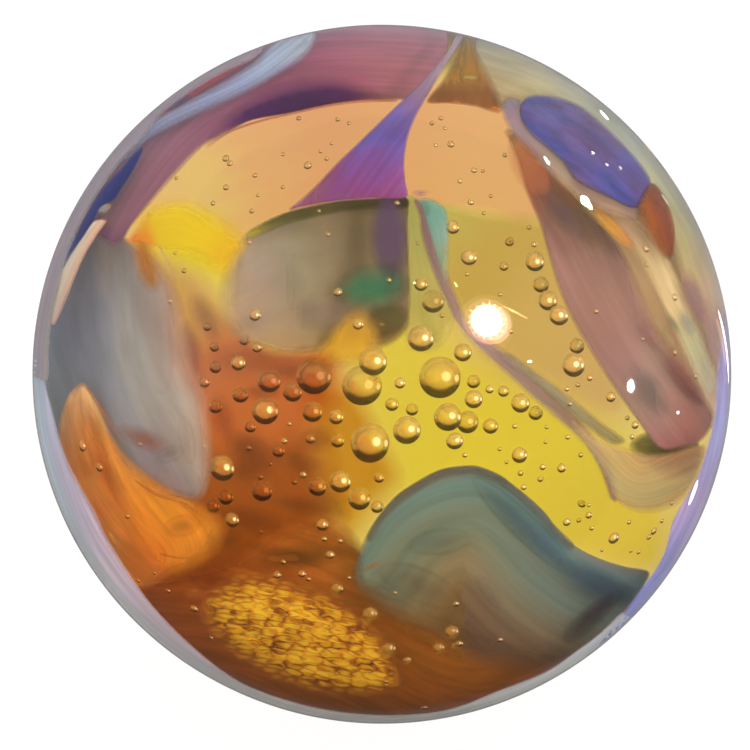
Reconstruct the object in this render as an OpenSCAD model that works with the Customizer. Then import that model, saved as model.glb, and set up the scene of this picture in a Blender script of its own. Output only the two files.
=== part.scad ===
// Glass marble: one fused ball of clear amber glass, with the air seeds that
// stayed in it. The ball is a true sphere centred on the origin, and every seed
// is a true spherical void inside it. Z points up, and the display side faces -Y.

/* [Ball] */
// Diameter of the ball in mm
ball_d = 25; // [14:0.5:40]
// Refractive index of the glass, which sets where a seed lies behind its image
glass_n = 1.5; // [1.45:0.01:1.6]

/* [Display side] */
// How far above the level the display side is looked at from, in degrees
display_tilt = 26; // [0:1:60]
// Distance of the eye from the centre of the ball, in ball radii
eye_dist = 6; // [4:0.5:20]

/* [Seeds] */
// Draw the larger air seeds that make up the cloud in the middle
cloud_seeds = true; // [true, false]
// Draw the fine seeds spread through the rest of the ball
fine_seeds = true; // [true, false]
// Number of fine seeds in the half turned away from the display side
back_seeds = 46; // [0:1:80]
// Smallest diameter of a fine seed in mm
fine_min = 0.14; // [0.1:0.01:0.2]
// Largest diameter of a fine seed in mm
fine_max = 0.42; // [0.3:0.01:0.6]
// Number that picks the layout of the seeds at the back
layout = 17; // [1:1:99]

/* [Hidden] */
ball_r = ball_d / 2;

// The display side is set out on a drawing grid: the ball's face is a disc of
// face_r units about face_c, with the second number counted downwards.
face_r = 350;
face_c = [382, 374];

// Seeds of the cloud: [across, down, width as it looks, depth], where depth is
// the part of the glass in front of the seed, in hundredths of the way through.
cloud = [
    [314, 376, 34, 34], [362, 385, 39, 46], [370, 443, 37, 30], [440, 377, 40, 40],
    [373, 361, 26, 24], [269, 381, 22, 30], [292, 392, 19, 40], [265, 411, 25, 24],
    [312, 412, 20, 45], [336, 417, 14, 30], [337, 441, 14, 52], [421, 338, 24, 20],
    [433, 301, 22, 44], [421, 284, 13, 30], [463, 352, 17, 30], [407, 430, 26, 26],
    [448, 417, 26, 30], [468, 422, 22, 44], [455, 441, 16, 20], [491, 426, 15, 36],
    [474, 399, 17, 22], [412, 409, 13, 54], [392, 404, 13, 36], [521, 403, 18, 26],
    [536, 413, 14, 44], [504, 391, 11, 34], [474, 381, 14, 52], [520, 455, 15, 24],
    [317, 487, 18, 36], [340, 482, 20, 24], [359, 499, 22, 40], [377, 507, 12, 26],
    [262, 491, 20, 34], [222, 468, 24, 22], [226, 497, 15, 42], [213, 506, 13, 28],
    [232, 520, 14, 20], [240, 395, 16, 46], [238, 363, 14, 22], [215, 367, 12, 36],
    [204, 382, 11, 24], [215, 407, 14, 56], [278, 451, 12, 30], [322, 525, 11, 22],
    [453, 227, 13, 30], [469, 257, 15, 22], [535, 261, 19, 26], [541, 284, 16, 40],
    [548, 300, 19, 30], [559, 315, 19, 22], [577, 346, 15, 34], [574, 365, 22, 22],
    [504, 266, 9, 40], [255, 315, 11, 16], [250, 427, 11, 34], [244, 340, 10, 30],
    [257, 347, 10, 20], [214, 347, 10, 44], [358, 324, 10, 16], [380, 324, 9, 30],
    [400, 383, 10, 18], [310, 439, 9, 26], [611, 397, 10, 26], [379, 478, 10, 36]
];

// Fine seeds of the display side: [across, down, width as it looks, depth].
fine = [
    [200, 138, 6, 22], [226, 158, 7, 26], [230, 163, 6, 20], [308, 165, 8, 24],
    [327, 158, 5, 40], [283, 154, 4, 30], [299, 118, 5, 22], [338, 119, 5, 34],
    [349, 123, 4, 20], [332, 143, 4, 28], [321, 151, 4, 36], [255, 175, 5, 24],
    [226, 187, 6, 40], [258, 195, 4, 22], [283, 187, 4, 34], [252, 211, 5, 26],
    [213, 203, 5, 30], [176, 178, 4, 20], [130, 190, 6, 12], [319, 211, 4, 18],
    [249, 242, 5, 14], [222, 257, 4, 30], [149, 215, 4, 24], [156, 223, 5, 36],
    [175, 253, 4, 22], [184, 271, 5, 30], [328, 234, 5, 14], [338, 292, 8, 12],
    [170, 301, 5, 18], [207, 327, 8, 28], [178, 350, 6, 20], [389, 280, 5, 24],
    [380, 290, 4, 36], [397, 203, 5, 20], [418, 243, 4, 34], [467, 274, 4, 26],
    [484, 213, 4, 30], [471, 202, 6, 22], [529, 227, 5, 34], [534, 244, 6, 18],
    [441, 118, 5, 24], [432, 123, 5, 36], [445, 128, 4, 20], [451, 144, 7, 30],
    [436, 145, 4, 22], [505, 155, 5, 34], [474, 170, 6, 24], [483, 171, 4, 38],
    [460, 181, 5, 20], [491, 196, 4, 28], [442, 315, 5, 40], [500, 294, 4, 24],
    [511, 331, 5, 32], [490, 389, 8, 20], [530, 371, 4, 34], [465, 455, 5, 24],
    [500, 449, 4, 36], [515, 426, 5, 22], [507, 462, 4, 30], [521, 473, 6, 40],
    [543, 467, 6, 22], [541, 479, 6, 34], [562, 468, 9, 24], [524, 487, 6, 18],
    [570, 404, 5, 30], [568, 437, 5, 20], [546, 442, 4, 36], [547, 427, 4, 24],
    [567, 522, 8, 16], [635, 425, 8, 24], [627, 418, 5, 34], [632, 437, 5, 20],
    [581, 455, 5, 30], [589, 515, 7, 22], [579, 520, 5, 34], [592, 528, 5, 26],
    [589, 505, 4, 18], [614, 538, 12, 14], [629, 522, 5, 22], [654, 531, 8, 12],
    [649, 537, 6, 18], [662, 521, 5, 14], [639, 552, 5, 12], [631, 551, 4, 16],
    [602, 550, 4, 20], [672, 503, 5, 14], [646, 248, 8, 14], [647, 264, 6, 20],
    [675, 297, 7, 12], [675, 353, 5, 14], [696, 376, 6, 10], [643, 339, 4, 18],
    [596, 311, 5, 14], [663, 329, 4, 20], [590, 378, 6, 28], [567, 389, 5, 20],
    [578, 385, 5, 34], [592, 154, 4, 10], [606, 166, 4, 14], [620, 169, 4, 12],
    [284, 441, 6, 22], [248, 448, 6, 34], [289, 424, 4, 20], [260, 477, 6, 26],
    [270, 464, 4, 36], [303, 475, 6, 20], [294, 482, 6, 30], [299, 525, 4, 24],
    [324, 539, 5, 16], [315, 547, 5, 26], [330, 555, 8, 14], [283, 562, 5, 20],
    [292, 564, 5, 28], [277, 575, 8, 16], [302, 574, 7, 12], [308, 579, 5, 20],
    [349, 578, 4, 14], [261, 532, 4, 24], [213, 524, 5, 30], [340, 541, 5, 22],
    [337, 589, 11, 18], [370, 614, 13, 14], [389, 649, 12, 12], [353, 625, 7, 20],
    [395, 593, 4, 16], [407, 660, 8, 10], [439, 648, 11, 14], [386, 682, 6, 10],
    [424, 708, 7, 6], [452, 632, 13, 10], [459, 644, 8, 14], [456, 604, 6, 12],
    [500, 640, 6, 14], [168, 591, 5, 14], [194, 609, 8, 12], [211, 638, 5, 10],
    [138, 581, 5, 10], [154, 573, 4, 14], [82, 446, 11, 10], [99, 467, 9, 14],
    [125, 482, 5, 18], [140, 444, 4, 12], [127, 516, 6, 14], [182, 524, 11, 22],
    [151, 547, 5, 16], [204, 446, 4, 20], [53, 323, 7, 6], [48, 343, 7, 6]
];

// Unit vector along v.
function unit(v) = v / norm(v);
// Slope of the sight line that just grazes the ball.
graze = 1 / sqrt(eye_dist * eye_dist - 1);
// Direction from the eye to a spot on the drawing grid. In the display view x is
// across, y is up and z is towards the eye.
function sight(s) = unit([
    graze * (s[0] - face_c[0]) / face_r,
    graze * (face_c[1] - s[1]) / face_r,
    -1
]);
// How far along the sight line d the ball's surface is met, in ball radii.
function reach(d) =
    let (m = -eye_dist * d[2])
    m - sqrt(max(0, m * m - eye_dist * eye_dist + 1));
// The sight line's direction once it has bent at the surface point p.
function bent(d, p) =
    let (c = -(d * p), k = 1 / glass_n)
    k * d + (k * c - sqrt(1 - k * k * (1 - c * c))) * p;
// Where a seed lies, in ball radii, for its look on the grid and its depth.
function lies(s) =
    let (d = sight(s), p = [0, 0, eye_dist] + reach(d) * d, b = bent(d, p))
    p + b * (-2 * (p * b) * s[3] / 100);
// The seed's true diameter in mm: glass in front of it makes it look larger.
function width(s) = ball_r * s[2] / face_r * (1 - 0.0062 * s[3]);
// The display view's directions turned into the part's own frame.
function turned(v) = [
    v[0],
    v[1] * sin(display_tilt) - v[2] * cos(display_tilt),
    v[1] * cos(display_tilt) + v[2] * sin(display_tilt)
];

// Seeds at the back follow an even spiral, each with its own depth and size.
jitter = rands(0, 1, 4 * 80, layout);
function back_lies(i) =
    let (
        level = -1 + 1.9 * (i + 0.5) / max(1, back_seeds),
        round_by = 137.508 * i + 40 * jitter[4 * i],
        out = 0.5 + 0.42 * sqrt(jitter[4 * i + 1]),
        wide = sqrt(max(0, 1 - level * level))
    )
    ball_r * out * [wide * sin(round_by), wide * cos(round_by), level];
function back_width(i) = fine_min + (fine_max - fine_min) * pow(jitter[4 * i + 2], 3);

// One air seed: a small true sphere.
module seed(at, d) {
    translate(at) sphere(d = d, $fn = 24);
}

// The whole marble: the ball less its seeds.
module glass_marble() {
    color([0.87, 0.62, 0.18, 0.75])
    difference() {
        sphere(d = ball_d, $fn = 128);
        if (cloud_seeds) for (s = cloud) seed(ball_r * turned(lies(s)), width(s));
        if (fine_seeds) for (s = fine) seed(ball_r * turned(lies(s)), width(s));
        if (fine_seeds && back_seeds > 0)
            for (i = [0 : back_seeds - 1])
                if (back_lies(i)[1] > 0.1 * ball_r) seed(back_lies(i), back_width(i));
    }
}

glass_marble();
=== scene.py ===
import math

import bmesh
import bpy
import numpy as np
from mathutils import Matrix, Vector, noise
from mathutils.geometry import delaunay_2d_cdt


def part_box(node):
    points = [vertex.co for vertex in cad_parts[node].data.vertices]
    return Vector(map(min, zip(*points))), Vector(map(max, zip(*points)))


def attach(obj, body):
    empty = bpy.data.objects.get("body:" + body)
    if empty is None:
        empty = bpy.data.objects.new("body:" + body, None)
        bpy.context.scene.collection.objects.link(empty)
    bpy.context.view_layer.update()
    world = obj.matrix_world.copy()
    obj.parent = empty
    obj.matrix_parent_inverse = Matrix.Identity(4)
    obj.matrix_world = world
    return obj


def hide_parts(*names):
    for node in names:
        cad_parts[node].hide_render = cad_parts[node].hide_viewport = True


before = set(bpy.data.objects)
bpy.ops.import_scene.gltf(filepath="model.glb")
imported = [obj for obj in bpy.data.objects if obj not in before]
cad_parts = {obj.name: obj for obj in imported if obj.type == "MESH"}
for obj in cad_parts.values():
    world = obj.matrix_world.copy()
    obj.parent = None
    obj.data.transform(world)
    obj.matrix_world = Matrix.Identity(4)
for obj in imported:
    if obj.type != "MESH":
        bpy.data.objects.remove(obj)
scene = bpy.context.scene
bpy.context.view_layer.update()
NODE = "glass_marble"
node_lo, node_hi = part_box(NODE)
CENTRE = (np.array(node_lo) + np.array(node_hi)) / 2
R = float(max(np.array(node_hi) - np.array(node_lo))) / 2
RNG = np.random.default_rng(20)

# ---------------------------------------------------------------- the display side
# A drawing grid on the ball's face: a disc of 350 units about (382, 374), the
# second number counted downwards. A mark's depth is the part of the glass in
# front of it, from 0 at the skin to 1 at the far side.
TILT = math.radians(26)
EYE = 6.0
GLASS = 1.5
FACE_R = 350.0
FACE_C = (382.0, 374.0)
GRAZE = 1 / math.sqrt(EYE * EYE - 1)
CT, ST = math.cos(TILT), math.sin(TILT)


def turned(v):
    """Display directions (across, up, to the eye) as the part's own X, Y, Z."""
    v = np.asarray(v, float)
    return np.stack(
        [v[..., 0], v[..., 1] * ST - v[..., 2] * CT, v[..., 1] * CT + v[..., 2] * ST], -1
    )


def unit(v):
    return v / np.linalg.norm(v, axis=-1, keepdims=True)


def face_points(xy, depth):
    """Points in the part's frame for marks on the grid, at a depth, with the sight line's own direction there."""
    xy = np.atleast_2d(np.asarray(xy, float))
    depth = np.broadcast_to(np.asarray(depth, float), (len(xy),))
    a = (xy[:, 0] - FACE_C[0]) / FACE_R
    b = (FACE_C[1] - xy[:, 1]) / FACE_R
    far = np.sqrt(a * a + b * b)
    keep = np.minimum(1.0, 0.9985 / np.maximum(far, 1e-9))
    a, b = a * keep, b * keep
    d = unit(np.stack([GRAZE * a, GRAZE * b, -np.ones_like(a)], -1))
    m = -EYE * d[:, 2]
    t = m - np.sqrt(np.maximum(0, m * m - EYE * EYE + 1))
    p = np.array([0, 0, EYE]) + t[:, None] * d
    c = -(d * p).sum(1)
    k = 1 / GLASS
    bent = k * d + (k * c - np.sqrt(1 - k * k * (1 - c * c)))[:, None] * p
    chord = -2 * (p * bent).sum(1)
    q = p + bent * (chord * depth)[:, None]
    return CENTRE + R * turned(q), turned(bent)


# ---------------------------------------------------------------- node helpers
def new_material(name):
    m = bpy.data.materials.new(name)
    m.use_nodes = True
    nt = m.node_tree
    nt.nodes.clear()
    return m, nt


def add(nt, kind, **values):
    n = nt.nodes.new(kind)
    for key, value in values.items():
        if key in n.inputs:
            n.inputs[key].default_value = value
        else:
            setattr(n, key, value)
    return n


def link(nt, a, b):
    nt.links.new(a, b)


def rgb(r, g, b):
    """A colour as it looks, 0 to 255, in the linear values Blender takes."""
    out = []
    for c in (r, g, b):
        c = c / 255.0
        out.append(c / 12.92 if c <= 0.04045 else ((c + 0.055) / 1.055) ** 2.4)
    return (*out, 1.0)


def ramp(nt, stops, fac=None, mode="EASE"):
    n = nt.nodes.new("ShaderNodeValToRGB")
    n.color_ramp.interpolation = mode
    el = n.color_ramp.elements
    while len(el) < len(stops):
        el.new(0.5)
    for e, (pos, col) in zip(el, stops):
        e.position = pos
        e.color = col
    if fac is not None:
        link(nt, fac, n.inputs["Fac"])
    return n


def attribute(nt, name):
    n = nt.nodes.new("ShaderNodeAttribute")
    n.attribute_type = "GEOMETRY"
    n.attribute_name = name
    return n


def maths(nt, op, a, b=None, clamp=False):
    n = nt.nodes.new("ShaderNodeMath")
    n.operation = op
    n.use_clamp = clamp
    for i, v in enumerate((a, b)):
        if v is None:
            continue
        if isinstance(v, (int, float)):
            n.inputs[i].default_value = v
        else:
            link(nt, v, n.inputs[i])
    return n.outputs[0]


# ---------------------------------------------------------------- the ball
def icosphere(level):
    bm = bmesh.new()
    bmesh.ops.create_icosphere(bm, subdivisions=level, radius=1.0)
    v = np.array([x.co[:] for x in bm.verts])
    f = np.array([[y.index for y in x.verts] for x in bm.faces])
    bm.free()
    return unit(v), f


def seeds_of(obj):
    """The centre and radius of each closed shell of a mesh, the largest first."""
    me = obj.data
    n = len(me.vertices)
    co = np.empty(n * 3)
    me.vertices.foreach_get("co", co)
    co = co.reshape(-1, 3)
    # vertices at one place are one vertex, whatever their normals are
    key = np.round(co / 1e-8).astype(np.int64)
    _, same = np.unique(key, axis=0, return_inverse=True)
    same = same.ravel()
    e = np.empty(len(me.edges) * 2, np.int64)
    me.edges.foreach_get("vertices", e)
    e = same[e.reshape(-1, 2)]
    label = np.arange(same.max() + 1)
    while True:
        low = np.minimum(label[e[:, 0]], label[e[:, 1]])
        before = label.copy()
        np.minimum.at(label, e[:, 0], low)
        np.minimum.at(label, e[:, 1], low)
        label = label[label]
        if (label == before).all():
            break
    which = label[same]
    found = []
    for s in np.unique(which):
        p = co[which == s]
        lo, hi = p.min(0), p.max(0)
        found.append(((lo + hi) / 2, float((hi - lo).max()) / 2))
    return sorted(found, key=lambda x: -x[1])


SHELLS = seeds_of(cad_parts[NODE])
SEEDS = SHELLS[1:]
print("shells:", len(SHELLS), "ball radius", SHELLS[0][1], "largest seed", SEEDS[0][1])


def smooth(a, b, x):
    t = np.clip((x - a) / (b - a), 0, 1)
    return t * t * (3 - 2 * t)


def on_grid(p):
    """Where skin points lie on the drawing grid, and which of them face the eye."""
    q = (p - CENTRE) / R
    x = q[:, 0]
    y = q[:, 1] * ST + q[:, 2] * CT
    z = -q[:, 1] * CT + q[:, 2] * ST
    s = 1 / np.maximum(EYE - z, 1e-6)
    return (
        FACE_C[0] + FACE_R * x * s / GRAZE,
        FACE_C[1] - FACE_R * y * s / GRAZE,
        z > 1 / EYE,
    )


def make_ball():
    v, f = icosphere(7)
    p = CENTRE + R * v
    # the ripple patch low on the display side gets a finer mesh
    gx, gy, front = on_grid(p)
    ripple = ripple_weight(gx, gy) * front
    for _ in range(2):
        pick = (ripple[f] > 0.02).all(1)
        v, f = split_faces(v, f, pick)
        p = CENTRE + R * v
        gx, gy, front = on_grid(p)
        ripple = ripple_weight(gx, gy) * front
    lift = np.zeros(len(v))
    for i, q in enumerate(v):
        lift[i] = noise.noise(Vector(q * 1.7)) * 0.0012 + noise.noise(Vector(q * 5.0 + 7)) * 0.0002
    lift -= 0.0012
    lift += ripple * ripples(gx, gy)
    verts = CENTRE + R * v * (1 + lift)[:, None]
    faces = [f]
    slots = [np.zeros(len(f), int)]
    points = [verts]
    start = len(verts)
    small, small_f = icosphere(3)
    large, large_f = icosphere(4)
    rng = np.random.default_rng(5)
    for c, r in SEEDS:
        sv, sf = (large, large_f) if r > 0.00028 else (small, small_f)
        squash = 1 - rng.uniform(0.0, 0.05)
        axis = unit(rng.normal(size=3))
        along = (sv @ axis)[:, None] * axis
        q = sv + along * (squash - 1)
        points.append(c + q * r)
        faces.append(sf[:, ::-1] + start)
        slots.append(np.ones(len(sf), int))
        start += len(sv)
    verts = np.concatenate(points)
    faces = np.concatenate(faces)
    slots = np.concatenate(slots)
    me = bpy.data.meshes.new("marble_glass")
    me.from_pydata(verts.tolist(), [], faces.tolist())
    me.polygons.foreach_set("material_index", slots.tolist())
    me.polygons.foreach_set("use_smooth", [True] * len(faces))
    me.update()
    ob = bpy.data.objects.new("marble_glass", me)
    bpy.context.scene.collection.objects.link(ob)
    return ob


def split_faces(v, f, pick):
    """Splits the picked triangles in four, and their neighbours to match."""
    edges = {}
    extra = []

    def middle(a, b):
        key = (a, b) if a < b else (b, a)
        if key not in edges:
            edges[key] = len(v) + len(extra)
            m = v[a] + v[b]
            extra.append(m / np.linalg.norm(m))
        return edges[key]

    new = []
    for a, b, c in f[pick].tolist():
        ab, bc, ca = middle(a, b), middle(b, c), middle(c, a)
        new += [(a, ab, ca), (ab, b, bc), (ca, bc, c), (ab, bc, ca)]
    for a, b, c in f[~pick].tolist():
        tri = [a, b, c]
        mids = [
            edges.get((min(p, q), max(p, q))) for p, q in ((a, b), (b, c), (c, a))
        ]
        n = sum(m is not None for m in mids)
        if n == 0:
            new.append((a, b, c))
        elif n == 3:
            ab, bc, ca = mids
            new += [(a, ab, ca), (ab, b, bc), (ca, bc, c), (ab, bc, ca)]
        elif n == 1:
            i = [m is not None for m in mids].index(True)
            p, q, r = tri[i], tri[(i + 1) % 3], tri[(i + 2) % 3]
            new += [(p, mids[i], r), (mids[i], q, r)]
        else:
            i = [m is None for m in mids].index(True)
            p, q, r = tri[i], tri[(i + 1) % 3], tri[(i + 2) % 3]
            qr, rp = mids[(i + 1) % 3], mids[(i + 2) % 3]
            new += [(p, q, qr), (p, qr, rp), (rp, qr, r)]
    return np.concatenate([v, np.array(extra).reshape(-1, 3)]), np.array(new)


def ripple_weight(x, y):
    """The hammered patch: a slanting oval low on the left."""
    dx, dy = x - 312, y - 637
    a = math.radians(17)
    u = (dx * math.cos(a) + dy * math.sin(a)) / 98
    w = (-dx * math.sin(a) + dy * math.cos(a)) / 50
    return 1 - smooth(0.62, 1.08, np.sqrt(u * u + w * w))


def ripples(x, y):
    a = math.radians(14)
    u = (x - 312) * math.cos(a) + (y - 637) * math.sin(a)
    w = -(x - 312) * math.sin(a) + (y - 637) * math.cos(a)
    out = np.zeros(len(x))
    for i in range(len(x)):
        if abs(u[i]) < 130 and abs(w[i]) < 80:
            out[i] = noise.noise(Vector((u[i] / 11.0, w[i] / 4.6, 3.1)))
    return out * 0.0008


ball = make_ball()
print("ball triangles", len(ball.data.polygons))


def glass_material(name, skin):
    m, nt = new_material(name)
    out = add(nt, "ShaderNodeOutputMaterial")
    p = add(nt, "ShaderNodeBsdfPrincipled")
    p.inputs["Base Color"].default_value = (1, 1, 1, 1)
    p.inputs["Transmission Weight"].default_value = 1.0
    p.inputs["IOR"].default_value = GLASS
    p.inputs["Roughness"].default_value = 0.0 if skin else 0.2
    if skin:
        p.inputs["Thin Film Thickness"].default_value = 260.0
        p.inputs["Thin Film IOR"].default_value = 1.68
    clear = add(nt, "ShaderNodeBsdfTransparent")
    mix = add(nt, "ShaderNodeMixShader")
    path = add(nt, "ShaderNodeLightPath")
    link(nt, path.outputs["Is Shadow Ray"], mix.inputs[0])
    if skin:
        link(nt, p.outputs[0], mix.inputs[1])
    else:
        # the wall of a seed is thin and golden, with painted shade at its foot and two painted highlights
        geo = add(nt, "ShaderNodeNewGeometry")

        def facing(x, y, z, low, high):
            """1 where the wall faces this way on the display grid, fading to 0."""
            dot = add(nt, "ShaderNodeVectorMath", operation="DOT_PRODUCT")
            link(nt, geo.outputs["Normal"], dot.inputs[0])
            dot.inputs[1].default_value = turned(unit([x, y, z])).tolist()
            return maths(nt, "DIVIDE", maths(nt, "SUBTRACT", dot.outputs["Value"], low), high - low, clamp=True)

        def blend(amount, a, b):
            node = add(nt, "ShaderNodeMix", data_type="RGBA", blend_type="MIX")
            link(nt, amount, node.inputs["Factor"])
            if isinstance(a, tuple):
                node.inputs["A"].default_value = a
            else:
                link(nt, a, node.inputs["A"])
            node.inputs["B"].default_value = b
            return node.outputs["Result"]

        away = maths(nt, "SUBTRACT", 1.0, facing(0.05, 0.34, 0.94, 0.50, 0.66))
        # painted shade: dark on the underside of the seed, away from the front
        foot = maths(nt, "MULTIPLY", away, facing(0.0, -1.0, 0.0, 0.0, 0.42))
        # painted highlights: near white where the wall faces right and towards the eye
        painted_highlights = maths(nt, "MAXIMUM", facing(0.34, 0.04, 0.94, 0.945, 0.985), facing(0.84, -0.04, 0.54, 0.975, 0.992))
        warm = facing(-0.2, -0.25, 0.9, 0.62, 0.98)
        colour = blend(warm, (0.80, 0.50, 0.19, 1), (0.86, 0.42, 0.11, 1))
        colour = blend(foot, colour, (0.045, 0.022, 0.012, 1))
        colour = blend(painted_highlights, colour, (0.96, 0.92, 0.84, 1))
        body = add(nt, "ShaderNodeBsdfDiffuse")
        link(nt, colour, body.inputs["Color"])
        share = maths(nt, "MULTIPLY_ADD", foot, 0.52)
        nt.nodes[-1].inputs[2].default_value = 0.26
        share = maths(nt, "ADD", share, maths(nt, "MULTIPLY", painted_highlights, 0.66), clamp=True)
        share = maths(nt, "MULTIPLY", share, geo.outputs["Backfacing"])
        thin = add(nt, "ShaderNodeMixShader")
        thin.inputs[0].default_value = 0.62
        link(nt, p.outputs[0], thin.inputs[1])
        link(nt, clear.outputs[0], thin.inputs[2])
        wall = add(nt, "ShaderNodeMixShader")
        link(nt, share, wall.inputs[0])
        link(nt, thin.outputs[0], wall.inputs[1])
        link(nt, body.outputs[0], wall.inputs[2])
        link(nt, wall.outputs[0], mix.inputs[1])
    link(nt, clear.outputs[0], mix.inputs[2])
    link(nt, mix.outputs[0], out.inputs["Surface"])
    if skin:
        clear.inputs["Color"].default_value = (0.92, 0.92, 0.92, 1)
        vol = add(nt, "ShaderNodeVolumeAbsorption")
        vol.inputs["Color"].default_value = (0.907, 0.76, 0.002, 1)
        vol.inputs["Density"].default_value = 85.0
        link(nt, vol.outputs[0], out.inputs["Volume"])
    return m


ball.data.materials.append(glass_material("amber_glass", True))
ball.data.materials.append(glass_material("seed_wall", False))
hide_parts(NODE)
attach(ball, "root")

# ---------------------------------------------------------------- the swirls
# Each swirl is a smooth closed lens of coloured glass. Its outline is drawn on
# the display grid as (across, down, how softly the edge fades), and its colours
# run along a spine drawn through it.
def spline(points, closed=True, step=4.0):
    """A smooth curve through the points, at even steps."""
    p = np.array(points, float)
    n = len(p)
    out = []
    last = n if closed else n - 1
    for i in range(last):
        if closed:
            a, b, c, d = p[(i - 1) % n], p[i], p[(i + 1) % n], p[(i + 2) % n]
        else:
            a, b, c, d = p[max(i - 1, 0)], p[i], p[i + 1], p[min(i + 2, n - 1)]
        k = max(1, int(np.linalg.norm(c[:2] - b[:2]) / step))
        for t in np.arange(k) / k:
            out.append(
                0.5
                * (
                    2 * b
                    + (c - a) * t
                    + (2 * a - 5 * b + 4 * c - d) * t * t
                    + (3 * b - 3 * c + d - a) * t**3
                )
            )
    if not closed:
        out.append(p[-1])
    return np.array(out)


def to_segments(q, a, b):
    """For each point of q, its distance to each piece of the line a-b, and how far along that piece."""
    ab = b - a
    t = ((q[:, None, :] - a) * ab).sum(-1) / np.maximum((ab * ab).sum(-1), 1e-12)
    t = np.clip(t, 0, 1)
    near = a + t[..., None] * ab
    return np.linalg.norm(q[:, None, :] - near, axis=-1), t


def inside_line(q, line):
    x, y = q[:, 0][:, None], q[:, 1][:, None]
    x0, y0 = line[:, 0], line[:, 1]
    x1, y1 = np.roll(x0, -1), np.roll(y0, -1)
    cut = ((y0 > y) != (y1 > y)) & (
        x < (x1 - x0) * (y - y0) / np.where(y1 == y0, 1e-9, y1 - y0) + x0
    )
    return cut.sum(1) % 2 == 1


def band(left, right):
    """An outline from two edges, both drawn from the same end."""
    return list(left) + list(right)[::-1]


def lens_parts(name, outline, spine, half, place, thick, spacing=None):
    """A closed lens inside the outline. place(xy) gives points and the directions they are thickened along."""
    if spacing is None:
        # a narrow shape gets a finer mesh: its mean width is twice its area over its outline
        o = np.array([q[:2] for q in outline], float)
        nxt = np.roll(o, -1, 0)
        size = abs(np.sum(o[:, 0] * nxt[:, 1] - nxt[:, 0] * o[:, 1]))
        spacing = float(np.clip(size / np.linalg.norm(nxt - o, axis=1).sum() / 4.5, 2.0, 6.0))
    edge = spline([(*o[:2], o[2] if len(o) > 2 else 3.0) for o in outline], step=min(4.0, spacing))
    line, soft = edge[:, :2], np.maximum(edge[:, 2], 1.0)
    lo, hi = line.min(0), line.max(0)
    n = len(line)
    a, b = line, np.roll(line, -1, 0)
    # rings of points just inside the outline carry its fade
    tangent = unit(np.roll(line, -1, 0) - np.roll(line, 1, 0))
    normal = np.stack([-tangent[:, 1], tangent[:, 0]], -1)
    area = 0.5 * np.sum(line[:, 0] * np.roll(line[:, 1], -1) - np.roll(line[:, 0], -1) * line[:, 1])
    if area < 0:
        normal = -normal
    rings = []
    for share in (0.5, 1.0):
        ring = line + normal * (soft * share)[:, None]
        far = to_segments(ring, a, b)[0].min(1)
        ring = ring[inside_line(ring, line) & (far > soft * share * 0.93)]
        keep = []
        for q in ring:
            if all((q[0] - w[0]) ** 2 + (q[1] - w[1]) ** 2 > 2.2 for w in keep[-3:] + keep[:2]):
                keep.append(q)
        if keep:
            rings.append(np.array(keep))
    rng = np.random.default_rng(len(name) + int(abs(lo[0])) * 7)
    nx, ny = int((hi[0] - lo[0]) / spacing) + 2, int((hi[1] - lo[1]) / (spacing * 0.87)) + 2
    gx, gy = np.meshgrid(np.arange(nx), np.arange(ny))
    grid = np.stack(
        [lo[0] + (gx + 0.5 * (gy % 2)) * spacing, lo[1] + gy * spacing * 0.87], -1
    ).reshape(-1, 2)
    grid += rng.uniform(-0.12, 0.12, grid.shape) * spacing
    grid = grid[inside_line(grid, line)]
    if len(grid):
        far = to_segments(grid, a, b)[0]
        grid = grid[far.min(1) > np.minimum(soft[far.argmin(1)] + spacing * 0.5, spacing * 1.5)]
    pts = np.concatenate([line, *rings, grid])
    res = delaunay_2d_cdt(
        [Vector(p) for p in pts.tolist()],
        [(i, (i + 1) % n) for i in range(n)],
        [],
        1,
        1e-4,
    )
    v2 = np.array([v[:] for v in res[0]])
    tris = np.array([f[:] for f in res[2]])
    tris = tris[inside_line(v2[tris].mean(1), line)]
    turn = np.cross(v2[tris[:, 1]] - v2[tris[:, 0]], v2[tris[:, 2]] - v2[tris[:, 0]])
    tris = np.where((turn > 0)[:, None], tris[:, ::-1], tris)
    used = np.unique(tris)
    remap = -np.ones(len(v2), int)
    remap[used] = np.arange(len(used))
    v2, tris = v2[used], remap[tris]
    dist, along = to_segments(v2, a, b)
    near = dist.argmin(1)
    rows = np.arange(len(v2))
    d = dist[rows, near]
    fade = soft[near] * (1 - along[rows, near]) + np.roll(soft, -1)[near] * along[rows, near]
    rim = d < 1e-3
    d = np.where(rim, 0.0, d)
    cover = smooth(0, 1, d / fade)
    sp = spline(spine, closed=False)
    sp_len = np.concatenate([[0], np.cumsum(np.linalg.norm(np.diff(sp[:, :2], axis=0), axis=1))])
    sd, st = to_segments(v2, sp[:-1, :2], sp[1:, :2])
    k = sd.argmin(1)
    s = (sp_len[k] + st[rows, k] * (sp_len[k + 1] - sp_len[k])) / sp_len[-1]
    ab = sp[k + 1, :2] - sp[k, :2]
    side = np.sign(ab[:, 0] * (v2[:, 1] - sp[k, 1]) - ab[:, 1] * (v2[:, 0] - sp[k, 0]))
    t = side * sd[rows, k] / half
    fat = np.sqrt(np.clip(1 - (1 - np.minimum(d / 12.0, 1)) ** 2, 0, 1)) * thick
    p, across = place(v2)
    top = p - across * (fat / 2)[:, None]
    low = p + across * (fat / 2)[:, None]
    inner = np.where(~rim)[0]
    low_id = np.arange(len(v2))
    low_id[inner] = len(v2) + np.arange(len(inner))
    verts = np.concatenate([top, low[inner]])
    faces = np.concatenate([tris, low_id[tris][:, ::-1]])
    # a triangle whose three corners all lie on the outline would be in both skins
    flat = rim[tris].all(1)
    faces = faces[~np.concatenate([flat, flat])]
    return verts, faces, [np.concatenate([value, value[inner]]) for value in (cover, s, t)]


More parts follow.
